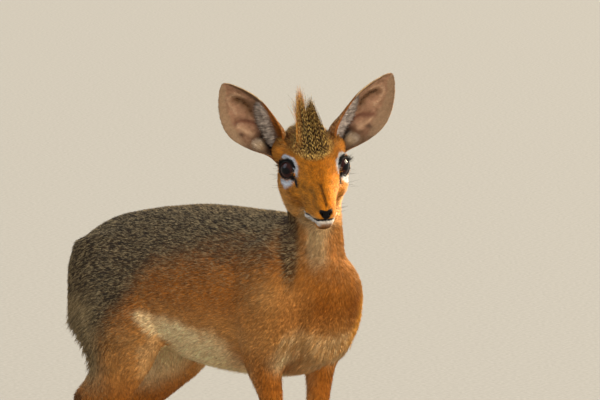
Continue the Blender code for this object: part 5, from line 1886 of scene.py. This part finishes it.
def studio():
    """A wide pale floor, soft lights, and the camera at the photo's angle."""
    material = plain_material("floor_paper", (0.35, 0.345, 0.335), 0.9, 200.0)
    reach = np.linspace(0, 1, FLOOR_RINGS)[:, None] ** 2 * FLOOR_RADIUS
    a = turns(FLOOR_SIDES)[None]
    rings = np.stack([reach * np.cos(a), reach * np.sin(a), 0 * (reach + a)], -1)
    near, beside, beyond, far = grid_cells(FLOOR_RINGS, FLOOR_SIDES)
    faces = np.stack([near, far, beyond, beside], -1).reshape(-1, 4)
    mesh = mesh_from("floor", rings.reshape(-1, 3) - PLAN_SHIFT, faces)
    floor = bpy.data.objects.new("floor", mesh)
    mesh.materials.append(material)
    bpy.context.scene.collection.objects.link(floor)
    lights = (
        ("key", 62, 27, 24, 2.8, (1.0, 0.88, 0.66)),
        ("sky", -125, 30, 38, 1.3, (0.66, 0.82, 1.0)),
        ("rim", 96, 24, 22, 6.0, (1.0, 0.82, 0.54)),
        ("fill", -22, 5, 40, 3.9, (1.0, 0.93, 0.84)),
    )
    for name, turn, height, wide, power, colour in lights:
        soft_light(name, math.radians(turn), math.radians(height), math.radians(wide), power, colour)
    bpy.data.objects["fill"].visible_glossy = False
    world = bpy.data.worlds.new("soft_room")
    world.use_nodes = True
    world.node_tree.nodes["Background"].inputs["Color"].default_value = (1.0, 0.975, 0.93, 1)
    world.node_tree.nodes["Background"].inputs["Strength"].default_value = 0.70
    bpy.context.scene.world = world
    camera()


def aim(made, place, target):
    """Sets an object down at a place and turns its -Z towards a target."""
    made.location = place
    made.rotation_euler = (Vector(target) - Vector(place)).to_track_quat("-Z", "Y").to_euler()
    bpy.context.scene.collection.objects.link(made)


def around(turn, height, distance):
    """The place at a distance from the animal's middle, at an angle round it and above it; 0 is straight in
    front."""
    flat = math.cos(height) * distance
    return (math.sin(turn) * flat, -math.cos(turn) * flat, MIDDLE_HEIGHT + math.sin(height) * distance)


def soft_light(name, turn, height, wide, power, colour):
    """A far, wide light whose rays reach the whole floor alike."""
    light = bpy.data.lights.new(name, "SUN")
    light.angle = wide
    light.energy = power
    light.color = colour
    place = around(turn, height, LIGHT_DISTANCE)
    aim(bpy.data.objects.new(name, light), place, (0, 0, MIDDLE_HEIGHT))


def camera():
    """Sets the camera at the photo's angle and with the photo's framing."""
    right = np.array([math.cos(VIEW_TURN), math.sin(VIEW_TURN), 0])
    level = math.cos(VIEW_RISE)
    back = np.array([math.sin(VIEW_TURN) * level, -math.cos(VIEW_TURN) * level, math.sin(VIEW_RISE)])
    target = right * VIEW_CENTRE[0] + np.cross(back, right) * VIEW_CENTRE[1] + PLAN_SHIFT
    lens = bpy.data.cameras.new("camera")
    lens.sensor_width = SENSOR_WIDTH
    lens.lens = SENSOR_WIDTH * VIEW_DISTANCE / VIEW_WIDTH
    lens.clip_end = CLEAR_TO
    made = bpy.data.objects.new("camera", lens)
    aim(made, target + back * VIEW_DISTANCE, target)
    bpy.context.scene.camera = made


bpy.context.scene.view_settings.view_transform = "Standard"
dress()
studio()
